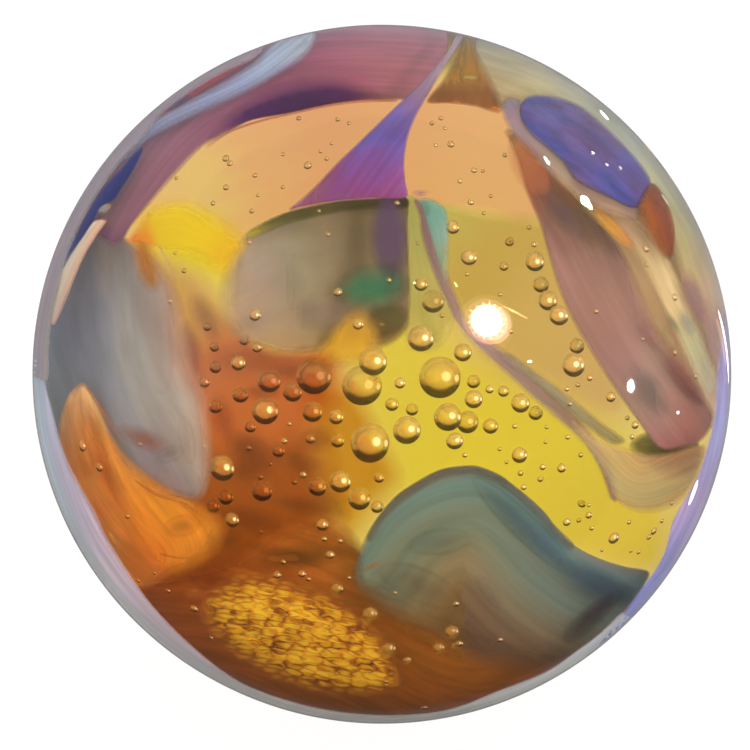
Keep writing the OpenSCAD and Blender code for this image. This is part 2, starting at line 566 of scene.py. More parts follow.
def lens_mesh(name, outlines, spines, half, place, thick, spacing=None):
    """One mesh of a lens, or of several when it is given a list of outlines and of spines."""
    if not isinstance(outlines[0], list):
        outlines, spines = [outlines], [spines]
    verts, faces, values, count = [], [], [], 0
    for outline, spine in zip(outlines, spines):
        v, f, kept = lens_parts(name, outline, spine, half, place, thick, spacing)
        verts.append(v)
        faces.append(f + count)
        values.append(kept)
        count += len(v)
    verts, faces = np.concatenate(verts), np.concatenate(faces)
    me = bpy.data.meshes.new(name)
    me.from_pydata(verts.tolist(), [], faces.tolist())
    me.polygons.foreach_set("use_smooth", [True] * len(faces))
    for i, key in enumerate(("cover", "s", "t")):
        at = me.attributes.new(key, "FLOAT", "POINT")
        at.data.foreach_set("value", np.concatenate([v[i] for v in values]).astype(np.float32))
    me.update()
    ob = bpy.data.objects.new(name, me)
    scene.collection.objects.link(ob)
    return ob


def on_face(depth):
    """Places marks of the display grid at a depth, or at a depth that depends on where they are."""

    def place(xy):
        dep = depth(xy) if callable(depth) else depth
        return face_points(xy, dep)

    return place


def on_back(az, el, depth, scale=1.0, turn=0.0):
    """Places a drawing on another part of the ball, centred where az, el points, 350 units to the radius."""
    a, e, r = math.radians(az), math.radians(el), math.radians(turn)
    out = np.array([math.sin(a) * math.cos(e), -math.cos(a) * math.cos(e), math.sin(e)])
    right = np.array([math.cos(a), math.sin(a), 0.0])
    up = np.cross(out, right)

    def place(xy):
        x = (xy[:, 0] * math.cos(r) - xy[:, 1] * math.sin(r)) * scale / FACE_R
        y = (xy[:, 0] * math.sin(r) + xy[:, 1] * math.cos(r)) * scale / FACE_R
        w = np.sqrt(x * x + y * y)
        sn = np.where(w > 1e-9, np.sin(w) / np.maximum(w, 1e-9), 1.0)
        d = (
            np.cos(w)[:, None] * out
            + (sn * x)[:, None] * right
            - (sn * y)[:, None] * up
        )
        dep = depth(xy) if callable(depth) else depth
        return CENTRE + R * d * np.reshape(1 - dep, (-1, 1)), -d

    return place


def per_layer(a):
    """What each of a lens's two skins covers, for the lens to cover a."""
    return 1 - math.sqrt(1 - a)


# How each swirl's colours are evened, red, green and blue, for the light it gets.
TUNE = {
    "gold_strokes": (1.45, 1.4, 1.2),
    "brown_dashes": (1.2, 1.1, 1),
    "top_band": (1.595, 1.113, 1.302),
    "dark_violet": (0.786, 0.137, 0.993),
    "blue_streak": (1.854, 1.989, 1.802),
    "red_streak": (1.927, 0.125, 0.176),
    "indigo_spindle": (0.214, 0.006, 1.38),
    "peach_stripe": (2.204, 2.523, 2.578),
    "rim_left": (2.155, 1.984, 1.936),
    "left_grey": (1.588, 1.865, 1.827),
    "amber_smudge": (1.662, 1.341, 0.028),
    "yellow_wedge": (2.824, 1.984, 0.766),
    "orange_lobe": (2.711, 3.04, 1.632),
    "left_ember": (1.284, 1.103, 1.033),
    "umber_low": (3.288, 2.777, 1.443),
    "gold_middle": (0.97, 0.962, 0.424),
    "yellow_heart": (1.144, 1.106, 0.982),
    "lime_strip": (1.909, 3.351, 2.443),
    "violet_fan": (1.568, 1.472, 1.116),
    "grey_thumb": (1.589, 1.515, 1.721),
    "plum_stripe": (1.21, 1.163, 1.728),
    "green_patch": (0.454, 1.268, 1.021),
    "olive_lobe": (0.809, 0.983, 0.675),
    "gold_wedge": (1.214, 1.254, 0.839),
    "teal_facet": (0.993, 1.468, 1.478),
    "thin_ribbon": (1.49, 1.452, 2.227),
    "right_gold": (1.087, 1.118, 0.997),
    "rose_glass": (1.265, 1.165, 1.156),
    "amber_wedge": (1.122, 0.914, 0.01),
    "rim_right": (1.537, 1.533, 1.088),
    "blue_oval": (1.192, 1.077, 1.178),
    "oval_halo": (1.212, 1.233, 1.175),
    "amber_lobe": (0.895, 0.66, 0.004),
    "right_ribbon": (2.012, 1.779, 1.571),
    "orange_slip": (1.525, 1.507, 0.709),
    "beige_stripe": (2.459, 2.823, 1.836),
    "right_fill": (2.821, 2.826, 2.865),
    "tail": (1.623, 1.614, 1.687),
    "wave": (1.861, 1.94, 1.574),
    "crescent_low": (3.333, 3.625, 6.104),
    "crescent_right": (1.564, 1.628, 2.226),
}


def evened(name, stops):
    gain = TUNE.get(name, (1, 1, 1))
    return [
        (p, (*(min(max(c[i] * gain[i], 0.003), 0.96) for i in range(3)), c[3])) for p, c in stops
    ]


def evened_veil(name, stops):
    gain = TUNE.get(name, (1, 1, 1))
    return [
        (p, (*(min(max(c[i] * math.sqrt(gain[i]), 0.05), 1.0) for i in range(3)), 1)) for p, c in stops
    ]


def swirl_material(
    name, stops, cross=None, cross_mix=0.5, streak=0.25, streak_at=(1.6, 9.0),
    opacity=0.92, through=0.2, dark=0.55, wobble=0.12, clear=(1, 1, 1),
):
    """Coloured glass: stops run along the spine, cross runs across it, and fine streaks follow it."""
    stops, cross = evened(name, stops), evened(name, cross) if cross else None
    m, nt = new_material(name)
    out = add(nt, "ShaderNodeOutputMaterial")
    s, t, cover = attribute(nt, "s"), attribute(nt, "t"), attribute(nt, "cover")
    where = add(nt, "ShaderNodeCombineXYZ")
    link(nt, maths(nt, "MULTIPLY", s.outputs["Fac"], streak_at[0]), where.inputs[0])
    link(nt, maths(nt, "MULTIPLY", t.outputs["Fac"], streak_at[1]), where.inputs[1])
    where.inputs[2].default_value = (len(name) * 1.37) % 5
    fine = add(nt, "ShaderNodeTexNoise", Scale=1.0, Detail=3.0, Roughness=0.55)
    link(nt, where.outputs[0], fine.inputs["Vector"])
    wide_at = add(nt, "ShaderNodeCombineXYZ")
    link(nt, maths(nt, "MULTIPLY", s.outputs["Fac"], 2.3), wide_at.inputs[0])
    link(nt, maths(nt, "MULTIPLY", t.outputs["Fac"], 1.4), wide_at.inputs[1])
    wide_at.inputs[2].default_value = (len(name) * 0.73) % 7
    wide = add(nt, "ShaderNodeTexNoise", Scale=1.0, Detail=1.0, Roughness=0.5)
    link(nt, wide_at.outputs[0], wide.inputs["Vector"])
    shift = maths(nt, "MULTIPLY", maths(nt, "SUBTRACT", wide.outputs["Fac"], 0.5), wobble * 2)
    colour = ramp(nt, stops, maths(nt, "ADD", s.outputs["Fac"], shift, clamp=True), "EASE")
    col = colour.outputs["Color"]
    alpha = colour.outputs["Alpha"]
    if cross:
        t01 = maths(nt, "MULTIPLY_ADD", t.outputs["Fac"], 0.5)
        nt.nodes[-1].inputs[2].default_value = 0.5
        c = ramp(nt, cross, maths(nt, "ADD", t01, shift, clamp=True), "EASE")
        mx = add(nt, "ShaderNodeMix", data_type="RGBA", blend_type="MIX")
        mx.inputs["Factor"].default_value = cross_mix
        link(nt, col, mx.inputs["A"])
        link(nt, c.outputs["Color"], mx.inputs["B"])
        col = mx.outputs["Result"]
        alpha = maths(nt, "MULTIPLY", alpha, c.outputs["Alpha"])
    tone = ramp(nt, [(0.3, (dark, dark, dark, 1)), (0.7, (1.25, 1.25, 1.25, 1))], fine.outputs["Fac"])
    mul = add(nt, "ShaderNodeMix", data_type="RGBA", blend_type="MULTIPLY")
    mul.inputs["Factor"].default_value = streak
    link(nt, col, mul.inputs["A"])
    link(nt, tone.outputs["Color"], mul.inputs["B"])
    col = mul.outputs["Result"]
    p = add(nt, "ShaderNodeBsdfDiffuse")
    link(nt, col, p.inputs["Color"])
    tr = add(nt, "ShaderNodeBsdfTranslucent")
    link(nt, col, tr.inputs["Color"])
    solid = add(nt, "ShaderNodeMixShader")
    solid.inputs[0].default_value = through
    link(nt, p.outputs[0], solid.inputs[1])
    link(nt, tr.outputs[0], solid.inputs[2])
    see = add(nt, "ShaderNodeBsdfTransparent")
    see.inputs["Color"].default_value = (*clear, 1)
    mix = add(nt, "ShaderNodeMixShader")
    a = maths(nt, "MULTIPLY", cover.outputs["Fac"], per_layer(opacity))
    a = maths(nt, "MULTIPLY", a, alpha)
    link(nt, a, mix.inputs[0])
    link(nt, see.outputs[0], mix.inputs[1])
    link(nt, solid.outputs[0], mix.inputs[2])
    link(nt, mix.outputs[0], out.inputs["Surface"])
    return m


def veil_material(name, stops, cross=None, streak=0.12, wobble=0.1):
    """Clear tinted glass: the stops say what light it lets through."""
    stops = evened_veil(name, stops)
    m, nt = new_material(name)
    out = add(nt, "ShaderNodeOutputMaterial")
    s, t, cover = attribute(nt, "s"), attribute(nt, "t"), attribute(nt, "cover")
    at = add(nt, "ShaderNodeCombineXYZ")
    link(nt, maths(nt, "MULTIPLY", s.outputs["Fac"], 2.0), at.inputs[0])
    link(nt, maths(nt, "MULTIPLY", t.outputs["Fac"], 2.2), at.inputs[1])
    at.inputs[2].default_value = (len(name) * 1.7) % 9
    wide = add(nt, "ShaderNodeTexNoise", Scale=1.0, Detail=2.0, Roughness=0.5)
    link(nt, at.outputs[0], wide.inputs["Vector"])
    shift = maths(nt, "MULTIPLY", maths(nt, "SUBTRACT", wide.outputs["Fac"], 0.5), wobble * 2)
    c = ramp(nt, stops, maths(nt, "ADD", s.outputs["Fac"], shift, clamp=True), "EASE")
    col = c.outputs["Color"]
    if cross:
        t01 = maths(nt, "MULTIPLY_ADD", t.outputs["Fac"], 0.5)
        nt.nodes[-1].inputs[2].default_value = 0.5
        c2 = ramp(nt, cross, maths(nt, "ADD", t01, shift, clamp=True), "EASE")
        mx = add(nt, "ShaderNodeMix", data_type="RGBA", blend_type="MULTIPLY")
        mx.inputs["Factor"].default_value = 1.0
        link(nt, col, mx.inputs["A"])
        link(nt, c2.outputs["Color"], mx.inputs["B"])
        col = mx.outputs["Result"]
    fade = add(nt, "ShaderNodeMix", data_type="RGBA", blend_type="MIX")
    link(nt, cover.outputs["Fac"], fade.inputs["Factor"])
    fade.inputs["A"].default_value = (1, 1, 1, 1)
    link(nt, col, fade.inputs["B"])
    see = add(nt, "ShaderNodeBsdfTransparent")
    link(nt, fade.outputs["Result"], see.inputs["Color"])
    link(nt, see.outputs[0], out.inputs["Surface"])
    return m


def swirl(name, outline, spine, half, material, depth=0.06, thick=None, spacing=None, place=None):
    if thick is None:
        # thin close under the skin, so that it stays inside
        shallow = not callable(depth) and depth < 0.04
        thick = 0.0001 if shallow else 0.0003
    ob = lens_mesh(name, outline, spine, half, place or on_face(depth), thick, spacing)
    ob.data.materials.append(material)
    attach(ob, "root")
    return ob


def veil(r, g, b):
    """What each of a veil's two skins lets through, for the veil to let through r, g, b."""
    return (math.sqrt(r), math.sqrt(g), math.sqrt(b), 1)


# SWIRLS START
# How strongly the amber glass takes up red, green and blue, per metre.
SIGMA = np.array([7.9, 20.4, 84.8])
LIGHT = np.array([1.0, 1.0, 1.0])


def linear(r, g, b):
    return np.array(rgb(r, g, b)[:3])


def ink(r, g, b, depth=0.1, k=1.6, a=1.0):
    """The pigment that looks r, g, b (0 to 255) from outside when it lies at a depth under amber glass."""
    path = 1.75 * depth + 0.09 * float(smooth(0.015, 0.07, depth))
    lin = linear(r, g, b) / np.exp(-SIGMA * 2 * R * path) / np.asarray(k)
    return (*np.clip(lin, 0.004, 0.94).tolist(), a)


def inks(depth, stops, k=1.6):
    """Stops of (place, (r, g, b) or (r, g, b, cover)) as pigments at a depth."""
    return [
        (p, ink(*c[:3], depth=depth, k=k, a=c[3] if len(c) > 3 else 1.0)) for p, c in stops
    ]


# What the plain amber lets through from skin to skin, over the pale floor.
PLAIN = np.exp(-SIGMA * 2 * R) * 1.06


def shade(r, g, b, over=None):
    """What each of a veil's two skins lets through, for the plain amber behind it to look r, g, b."""
    base = PLAIN if over is None else linear(*over)
    v = np.clip((linear(r, g, b) - 0.006) / base, 0.004, 1.0)
    return (*np.sqrt(v).tolist(), 1)


def shades(stops, over=None):
    return [(p, shade(*c, over=over)) for p, c in stops]


def arc(a0, a1, r=349.3, step=5.0):
    """Marks along a circle round the face's middle, by angle: 0 right, 90 up."""
    n = max(2, int(abs(a1 - a0) / step) + 1)
    return [
        (FACE_C[0] + r * math.cos(math.radians(a)), FACE_C[1] - r * math.sin(math.radians(a)))
        for a in np.linspace(a0, a1, n)
    ]


def softly(points, soft):
    return [(x, y, soft) for x, y in points]


def oval(x, y, long, wide, turn, soft=2.0, n=14):
    """An oval outline: half length, half width, and its slant in degrees, anticlockwise from level."""
    t = math.radians(turn)
    return [
        (
            x + long * math.cos(a) * math.cos(t) + wide * math.sin(a) * math.sin(t),
            y - long * math.cos(a) * math.sin(t) + wide * math.sin(a) * math.cos(t),
            soft,
        )
        for a in np.linspace(0, 2 * math.pi, n, endpoint=False)
    ]


def through_oval(x, y, long, turn):
    """A spine along an oval."""
    t = math.radians(turn)
    dx, dy = long * math.cos(t), -long * math.sin(t)
    return [(x - dx, y - dy), (x, y), (x + dx, y + dy)]


def blot(name, x, y, long, wide, turn, soft, colours, depth, opacity=0.9, **more):
    """A small oval swirl of its own colour or two."""
    return swirl(
        name,
        oval(x, y, long, wide, turn, soft),
        through_oval(x, y, long, turn),
        wide,
        swirl_material(name, inks(depth, colours), opacity=opacity, **more),
        depth=depth,
    )


# the mauve and magenta band over the top
swirl(
    "top_band",
    [(96, 238, 6), (112, 247, 7), (124, 239, 3), (132, 226, 3), (150, 205, 5), (172, 180, 6),
     (200, 150, 5), (226, 131, 2.5), (250, 121, 2), (288, 114, 2), (330, 105, 2), (363, 101, 2),
     (396, 100, 2), (424, 99, 3), (436, 78, 4), (447, 55, 4)]
    + softly(arc(79.5, 156, 349.3), 1.2),
    [(104, 232), (135, 178), (180, 122), (240, 84), (310, 64), (380, 62), (440, 66)],
    42,
    swirl_material(
        "top_band",
        inks(0.1, [(0.0, (140, 120, 128)), (0.25, (154, 122, 130)), (0.42, (152, 102, 120)),
                   (0.58, (158, 76, 110)), (0.72, (160, 90, 98)), (0.86, (166, 118, 100)),
                   (1.0, (160, 128, 108))]),
        inks(0.1, [(0.0, (180, 172, 166)), (0.1, (174, 158, 156)), (0.26, (162, 122, 130)), (0.6, (146, 94, 108)),
                   (1.0, (124, 78, 88))]),
        cross_mix=0.45, streak=0.4, streak_at=(2.2, 7.0), opacity=0.95,
    ),
    depth=0.1,
)
swirl(
    "dark_violet",
    [(206, 146, 6), (250, 121, 2), (290, 113, 1.5), (330, 104.5, 1.5), (362, 101, 3), (388, 100, 10),
     (366, 84, 16), (330, 74, 20), (290, 78, 22), (252, 94, 20), (220, 118, 16)],
    [(212, 138), (290, 104), (388, 96)],
    15,
    swirl_material(
        "dark_violet",
        inks(0.09, [(0.0, (130, 76, 100, 0.5)), (0.25, (96, 54, 90)), (0.5, (80, 44, 78)), (0.75, (96, 52, 80)),
                    (1.0, (124, 70, 66, 0.4))]),
        streak=0.5, streak_at=(4.0, 3.0), opacity=0.93, wobble=0.2,
    ),
    depth=0.092,
)
swirl(
    "band_fringe",
    band([(206, 145, 1.5), (230, 129.5, 1.5), (258, 119.5, 1.5), (288, 112.5, 1.5), (330, 103.5, 1.5), (363, 99.5, 1.5), (398, 98.5, 1.5)],
         [(208, 148.5, 1.5), (231, 133, 1.5), (259, 123, 1.5), (288, 116, 1.5), (330, 107, 1.5), (363, 103, 1.5), (398, 102, 1.5)]),
    [(207, 147), (260, 121), (330, 105), (398, 100)],
    3,
    swirl_material("band_fringe", inks(0.085, [(0, (190, 110, 90, 0.3)), (0.2, (196, 96, 60)), (0.6, (200, 92, 52)), (1, (206, 120, 60))]), streak=0.3, opacity=0.75),
    depth=0.086, thick=0.0001,
)
swirl(
    "blue_streak",
    [(116, 160, 8), (130, 132, 8), (158, 112, 8), (194, 95, 9), (228, 77, 9), (252, 61, 9),
     (268, 45, 7)]
    + softly(arc(107, 101, 349.3, 2), 1.2)
    + [(318, 38, 10), (306, 58, 14), (278, 76, 13), (242, 96, 12), (198, 116, 11), (152, 139, 9), (128, 160, 8)],
    [(122, 154), (160, 122), (196, 104), (254, 76), (302, 40)],
    15,
    swirl_material(
        "blue_streak",
        inks(0.05, [(0.0, (140, 136, 158)), (0.3, (146, 148, 172)), (0.6, (152, 158, 184)), (0.8, (160, 170, 188)),
                    (1.0, (166, 176, 184))]),
        streak=0.55, streak_at=(1.4, 6.0), opacity=0.93, wobble=0.15,
    ),
    depth=0.05,
)
swirl(
    "red_streak",
    [(146, 126, 5), (160, 103, 5), (190, 82, 5), (222, 62, 5), (250, 51, 4), (259, 54, 4),
     (240, 68, 5), (206, 90, 5), (170, 113, 5)],
    [(148, 123), (200, 84), (256, 54)],
    9,
    swirl_material(
        "red_streak",
        inks(0.045, [(0.0, (156, 128, 124)), (0.4, (154, 106, 118)), (0.8, (160, 96, 110)),
                     (1.0, (180, 96, 92))]),
        streak=0.5, opacity=0.9,
    ),
    depth=0.045,
)
blot("violet_fleck", 177, 102, 15, 4.5, 30, 3, [(0, (96, 74, 118)), (1, (78, 58, 112))], 0.04)
# the pale rim on the left, painted rim light: the bright surroundings as the edge of the glass shows them
swirl(
    "rim_left",
    softly(arc(110, 181, 349.3), 1.2)
    + softly(arc(181, 165, 334), 3)
    + softly(arc(160, 135, 336), 4)
    + softly(arc(130, 112, 340), 5),
    arc(110, 181, 343),
    9,
    swirl_material(
        "rim_left",
        inks(0.03, [(0.0, (150, 148, 150)), (0.3, (156, 146, 152)), (0.6, (154, 142, 150)),
                    (1.0, (162, 154, 156))]),
        inks(0.03, [(0.0, (168, 174, 154)), (0.4, (156, 150, 154)), (1.0, (150, 134, 146))]),
        streak=0.3, opacity=0.93,
    ),
    depth=0.03,
)
swirl(
    "indigo_spindle",
    [(143, 147, 2), (139, 160, 2), (130, 176, 2), (122, 188, 2), (114, 200, 2), (100, 209, 2),
     (95, 218, 2), (86, 234, 2), (73, 254, 3), (60, 277, 3), (64, 262, 3), (71, 244, 3),
     (84, 217, 3), (100, 190, 3), (122, 166, 3), (134, 152, 3)],
    [(143, 147), (118, 184), (90, 222), (60, 277)],
    9,
    swirl_material(
        "indigo_spindle",
        inks(0.04, [(0.0, (68, 44, 122)), (0.5, (60, 38, 116)), (1.0, (92, 78, 120))]),
        inks(0.04, [(0.0, (88, 58, 104)), (0.6, (62, 42, 116)), (1.0, (48, 38, 138))]),
        streak=0.5, opacity=0.97,
    ),
    depth=0.04,
)
swirl(
    "peach_stripe",
    [(93, 221, 2), (80, 238, 2), (68, 255, 2), (58, 276, 2), (50, 300, 2), (45, 320, 3),
     (54, 326, 4), (66, 302, 4), (76, 276, 3), (86, 254, 3), (97, 236, 3), (107, 220, 3)],
    [(100, 220), (76, 256), (49, 322)],
    8,
    swirl_material(
        "peach_stripe",
        inks(0.04, [(0.0, (214, 172, 136)), (0.5, (208, 184, 154)), (1.0, (190, 170, 156))]),
        inks(0.04, [(0.0, (196, 116, 86)), (0.3, (206, 150, 120)), (0.5, (210, 184, 156)), (1.0, (204, 190, 164))]),
        streak=0.3, opacity=0.96,
    ),
    depth=0.042,
)
blot("cream_blob", 105, 208, 8, 4.5, 30, 2.5,
     [(0, (210, 204, 200)), (0.5, (212, 194, 178)), (1, (214, 156, 106))], 0.03, opacity=0.97)
# the grey patch and the orange lobe on the left
swirl(
    "left_grey",
    [(92, 212, 10), (116, 228, 8), (134, 242, 8), (160, 262, 14), (180, 290, 22), (190, 330, 26),
     (200, 370, 26), (210, 400, 26), (214, 440, 24), (213, 472, 18), (203, 500, 14), (178, 502, 12),
     (152, 490, 16), (128, 478, 18), (106, 474, 14), (78, 482, 8), (58, 456, 3), (46, 424, 3), (38, 384, 3),
     (37, 340, 3), (43, 300, 3), (54, 262, 3), (74, 228, 4)],
    [(98, 226), (108, 330), (134, 410), (184, 490)],
    62,
    swirl_material(
        "left_grey",
        inks(0.2, [(0.0, (146, 124, 130)), (0.25, (140, 130, 134)), (0.5, (158, 146, 136)),
                   (0.75, (168, 146, 128)), (1.0, (186, 146, 112))]),
        inks(0.2, [(0.0, (200, 138, 102)), (0.12, (184, 150, 124)), (0.24, (176, 156, 134)), (0.4, (166, 150, 134)),
                   (0.56, (136, 130, 134)), (0.74, (128, 126, 138)), (0.9, (122, 128, 138)), (1.0, (128, 138, 142))]),
        cross_mix=0.6, streak=0.35, streak_at=(3.0, 3.4), opacity=0.96, wobble=0.25,
    ),
    depth=0.2,
)
blot("grey_glow", 152, 332, 66, 20, -80, 18, [(0, (174, 154, 130, 0.7)), (0.5, (180, 162, 138)), (1, (176, 150, 132, 0.7))], 0.19, opacity=0.5)
blot("red_smear", 146, 440, 34, 12, -24, 12, [(0, (176, 116, 78, 0.6)), (0.5, (178, 106, 76)), (1, (190, 140, 110, 0.4))], 0.18, opacity=0.7)
blot("green_smear", 170, 454, 16, 9, 20, 8, [(0, (158, 148, 128, 0.6)), (0.5, (154, 150, 130)), (1, (170, 150, 122, 0.5))], 0.19, opacity=0.5)
blot("beige_smear", 187, 440, 26, 9, -80, 8, [(0, (186, 150, 124, 0.6)), (0.5, (188, 152, 124)), (1, (190, 140, 106, 0.5))], 0.19, opacity=0.5)
blot("amber_smudge", 146, 262, 34, 15, -74, 13,
     [(0, (190, 122, 56)), (0.4, (180, 122, 46)), (0.8, (168, 120, 58)), (1, (158, 120, 84, 0.4))], 0.09, opacity=0.85)
swirl(
    "yellow_wedge",
    [(124, 243, 6), (136, 226, 9), (148, 209, 12), (168, 200, 16), (190, 199, 20), (214, 212, 22), (240, 230, 22), (250, 246, 16),
     (240, 262, 18), (224, 278, 18), (200, 266, 18), (182, 258, 16), (160, 249, 6), (140, 244, 4)],
    [(126, 242), (150, 226), (184, 224), (244, 254)],
    34,
    swirl_material(
        "yellow_wedge",
        inks(0.06, [(0.0, (226, 124, 66)), (0.14, (236, 158, 70)), (0.28, (255, 206, 54)), (0.6, (255, 206, 50)), (1.0, (236, 184, 62))], k=1.7),
        streak=0.06, opacity=0.9, through=0.5, wobble=0.03,
    ),
    depth=0.06,
)
swirl(
    "cream_thread",
    band([(157, 246, 2), (163, 256, 2), (170, 270, 2), (174, 284, 3)], [(160, 244, 2), (166, 254, 2), (173, 268, 2), (178, 284, 3)]),
    [(159, 245), (166, 257), (176, 284)],
    2.5,
    swirl_material("cream_thread", inks(0.05, [(0, (240, 204, 120)), (0.5, (232, 190, 130)), (1, (214, 160, 110, 0.4))]), opacity=0.7),
    depth=0.05, thick=0.0001,
)
swirl(
    "orange_lobe",
    [(82, 382, 5), (90, 390, 4), (99, 404, 6), (112, 432, 10), (130, 456, 16), (152, 474, 22),
     (176, 488, 24), (204, 502, 28), (228, 520, 34), (226, 546, 36), (200, 570, 30), (172, 580, 22), (150, 588, 12), (134, 588, 3),
     (112, 568, 3), (90, 535, 3), (74, 492, 3), (62, 458, 3), (58, 430, 3), (66, 397, 4)],
    [(80, 386), (88, 440), (112, 500), (156, 556)],
    38,
    swirl_material(
        "orange_lobe",
        inks(0.16, [(0.0, (206, 162, 144)), (0.14, (198, 150, 124)), (0.32, (198, 124, 72)),
                    (0.55, (186, 100, 52)), (0.8, (204, 112, 46)), (1.0, (190, 104, 40))]),
        inks(0.16, [(0.0, (206, 132, 54)), (0.25, (206, 126, 50)), (0.42, (196, 108, 46)), (0.6, (190, 106, 60)), (0.8, (182, 108, 70)), (1.0, (190, 130, 96))]),
        cross_mix=0.4, streak=0.4, streak_at=(3.0, 5.0), opacity=0.93, wobble=0.25,
    ),
    depth=0.16,
)
blot("lobe_ember", 108, 476, 44, 12, -66, 12, [(0, (190, 98, 56, 0.5)), (0.5, (176, 84, 34)), (1, (190, 90, 34, 0.5))], 0.15, opacity=0.65)
blot("lobe_amber", 94, 428, 34, 8, -66, 8, [(0, (196, 140, 110, 0.5)), (0.5, (206, 128, 56)), (1, (204, 120, 50, 0.5))], 0.15, opacity=0.65)
blot("lobe_gold", 182, 526, 20, 12, 10, 12, [(0, (206, 126, 40, 0.6)), (0.5, (214, 136, 46)), (1, (200, 120, 40, 0.6))], 0.15, opacity=0.7)
swirl(
    "lobe_outline",
    band([(72, 394, 2), (82, 383, 2), (92, 391, 2), (102, 405, 2), (114, 422, 3), (126, 440, 5)], [(75, 398, 2), (82, 388, 2), (89, 395, 2), (98, 409, 2), (109, 426, 3), (120, 444, 5)]),
    [(74, 396), (84, 385), (100, 407), (123, 442)],
    3,
    swirl_material("lobe_outline", inks(0.1, [(0, (214, 140, 104, 0.5)), (0.5, (220, 140, 96)), (1, (206, 120, 76, 0.4))]), opacity=0.6),
    depth=0.1, thick=0.0001,
)
swirl(
    "bright_thread",
    band([(134, 478, 1.5), (148, 487, 1.5), (160, 493, 1.5), (175, 496, 1.5), (188, 500, 1.5), (198, 509, 1.5)],
         [(134, 481, 1.5), (148, 492, 1.5), (160, 498, 1.5), (175, 501.5, 1.5), (187, 505, 1.5), (196, 513, 1.5)]),
    [(134, 479), (150, 490), (175, 499), (197, 511)],
    3,
    swirl_material("bright_thread", inks(0.12, [(0, (210, 120, 70, 0.5)), (0.5, (240, 150, 66)), (0.75, (252, 168, 66)), (1, (240, 150, 50))]), opacity=0.95),
    depth=0.12, thick=0.00012,
)
swirl(
    "faint_thread",
    band([(160, 553, 1.5), (185, 557, 1.5), (208, 551, 1.5)], [(160, 555.5, 1.5), (185, 559.5, 1.5), (208, 553, 1.5)]),
    [(160, 554), (185, 558), (208, 552)],
    2.5,
    swirl_material("faint_thread", inks(0.12, [(0, (190, 100, 40)), (1, (214, 120, 46))]), opacity=0.7),
    depth=0.12, thick=0.0001,
)
swirl(
    "umber_low",
    [(132, 584, 4), (160, 574, 14), (200, 562, 20), (236, 548, 24), (268, 528, 28), (306, 512, 32), (342, 520, 28), (366, 546, 14),
     (378, 566, 8), (410, 572, 8), (470, 580, 8), (540, 586, 8), (600, 584, 6), (646, 586, 4), (636, 606, 2)]
    + softly(arc(317, 218, 345.5), 1.5)
    + [(118, 590, 2)],
    [(150, 590), (250, 600), (370, 650), (480, 690), (600, 640)],
    60,
    swirl_material(
        "umber_low",
        inks(0.3, [(0.0, (136, 68, 28)), (0.2, (132, 70, 28)), (0.5, (112, 62, 20)), (0.75, (108, 58, 16)), (1.0, (104, 56, 24))]),
        inks(0.3, [(0.0, (130, 84, 32)), (0.3, (124, 76, 26)), (0.7, (112, 58, 20)), (1.0, (100, 50, 14))]),
        cross_mix=0.45, streak=0.5, streak_at=(5.0, 7.0), opacity=0.975, wobble=0.25,
    ),
    depth=0.228,
)
blot("amber_streak_a", 432, 640, 40, 7, -32, 7, [(0, (150, 88, 26, 0.5)), (0.5, (170, 102, 28)), (1, (156, 92, 26, 0.4))], 0.185, opacity=0.7)
blot("amber_streak_b", 404, 629, 38, 6, -31, 6, [(0, (150, 88, 26, 0.5)), (0.5, (160, 94, 26)), (1, (150, 88, 26, 0.4))], 0.185, opacity=0.6)
blot("amber_streak_c", 371, 567, 15, 3, 28, 2.5, [(0, (176, 106, 34, 0.5)), (0.6, (190, 122, 36)), (1, (176, 108, 40, 0.5))], 0.12, opacity=0.7)
blot("rust_low", 216, 580, 34, 18, -20, 16, [(0, (158, 76, 28, 0.6)), (0.5, (166, 78, 26)), (1, (150, 76, 26, 0.5))], 0.215, opacity=0.6)
blot("rust_dusk", 345, 618, 40, 18, -20, 16, [(0, (140, 66, 26, 0.6)), (0.5, (150, 72, 26)), (1, (140, 76, 26, 0.5))], 0.215, opacity=0.5)
blot("olive_dusk", 300, 556, 50, 15, 4, 14, [(0, (118, 74, 28, 0.6)), (0.5, (112, 76, 28)), (1, (120, 82, 30, 0.5))], 0.215, opacity=0.55)


# the ribbon that hangs from the rim and opens into violet
def fan_depth(xy):
    return 0.02 + 0.05 * smooth(104, 150, xy[:, 1])


swirl(
    "violet_fan",
    [(457, 33, 2), (443, 56, 2.5), (421, 81, 2.5), (395, 106, 2.5), (367, 133, 3), (336, 163, 3),
     (313, 187, 4), (292, 205, 6), (268, 223, 8), (286, 215, 6), (298, 209, 3), (336, 202, 2),
     (371, 199, 2), (406, 198, 2), (406, 182, 2), (405, 161, 3), (409, 136, 3), (416, 118, 3),
     (424, 103, 3), (437, 81, 3), (451, 58, 3), (465, 35, 2)],
    [(460, 36), (430, 90), (394, 132), (368, 168), (345, 200)],
    30,
    swirl_material(
        "violet_fan",
        inks(0.05, [(0.0, (174, 168, 158)), (0.16, (166, 152, 146)), (0.32, (150, 128, 128)), (0.42, (136, 112, 146)),
                    (0.54, (112, 100, 184)), (0.68, (102, 92, 196)), (0.8, (124, 68, 160)),
                    (0.95, (138, 54, 132)), (1.0, (140, 66, 118))]),
        inks(0.05, [(0.0, (172, 80, 126)), (0.3, (130, 80, 162)), (0.7, (112, 88, 174)),
                    (1.0, (130, 100, 140))]),
        cross_mix=0.3, streak=0.4, streak_at=(1.4, 5.0), opacity=0.97,
    ),
    depth=fan_depth,
)


# the grey thumb
def thumb_depth(xy):
    return 0.17 + 0.22 * smooth(240, 390, xy[:, 0])


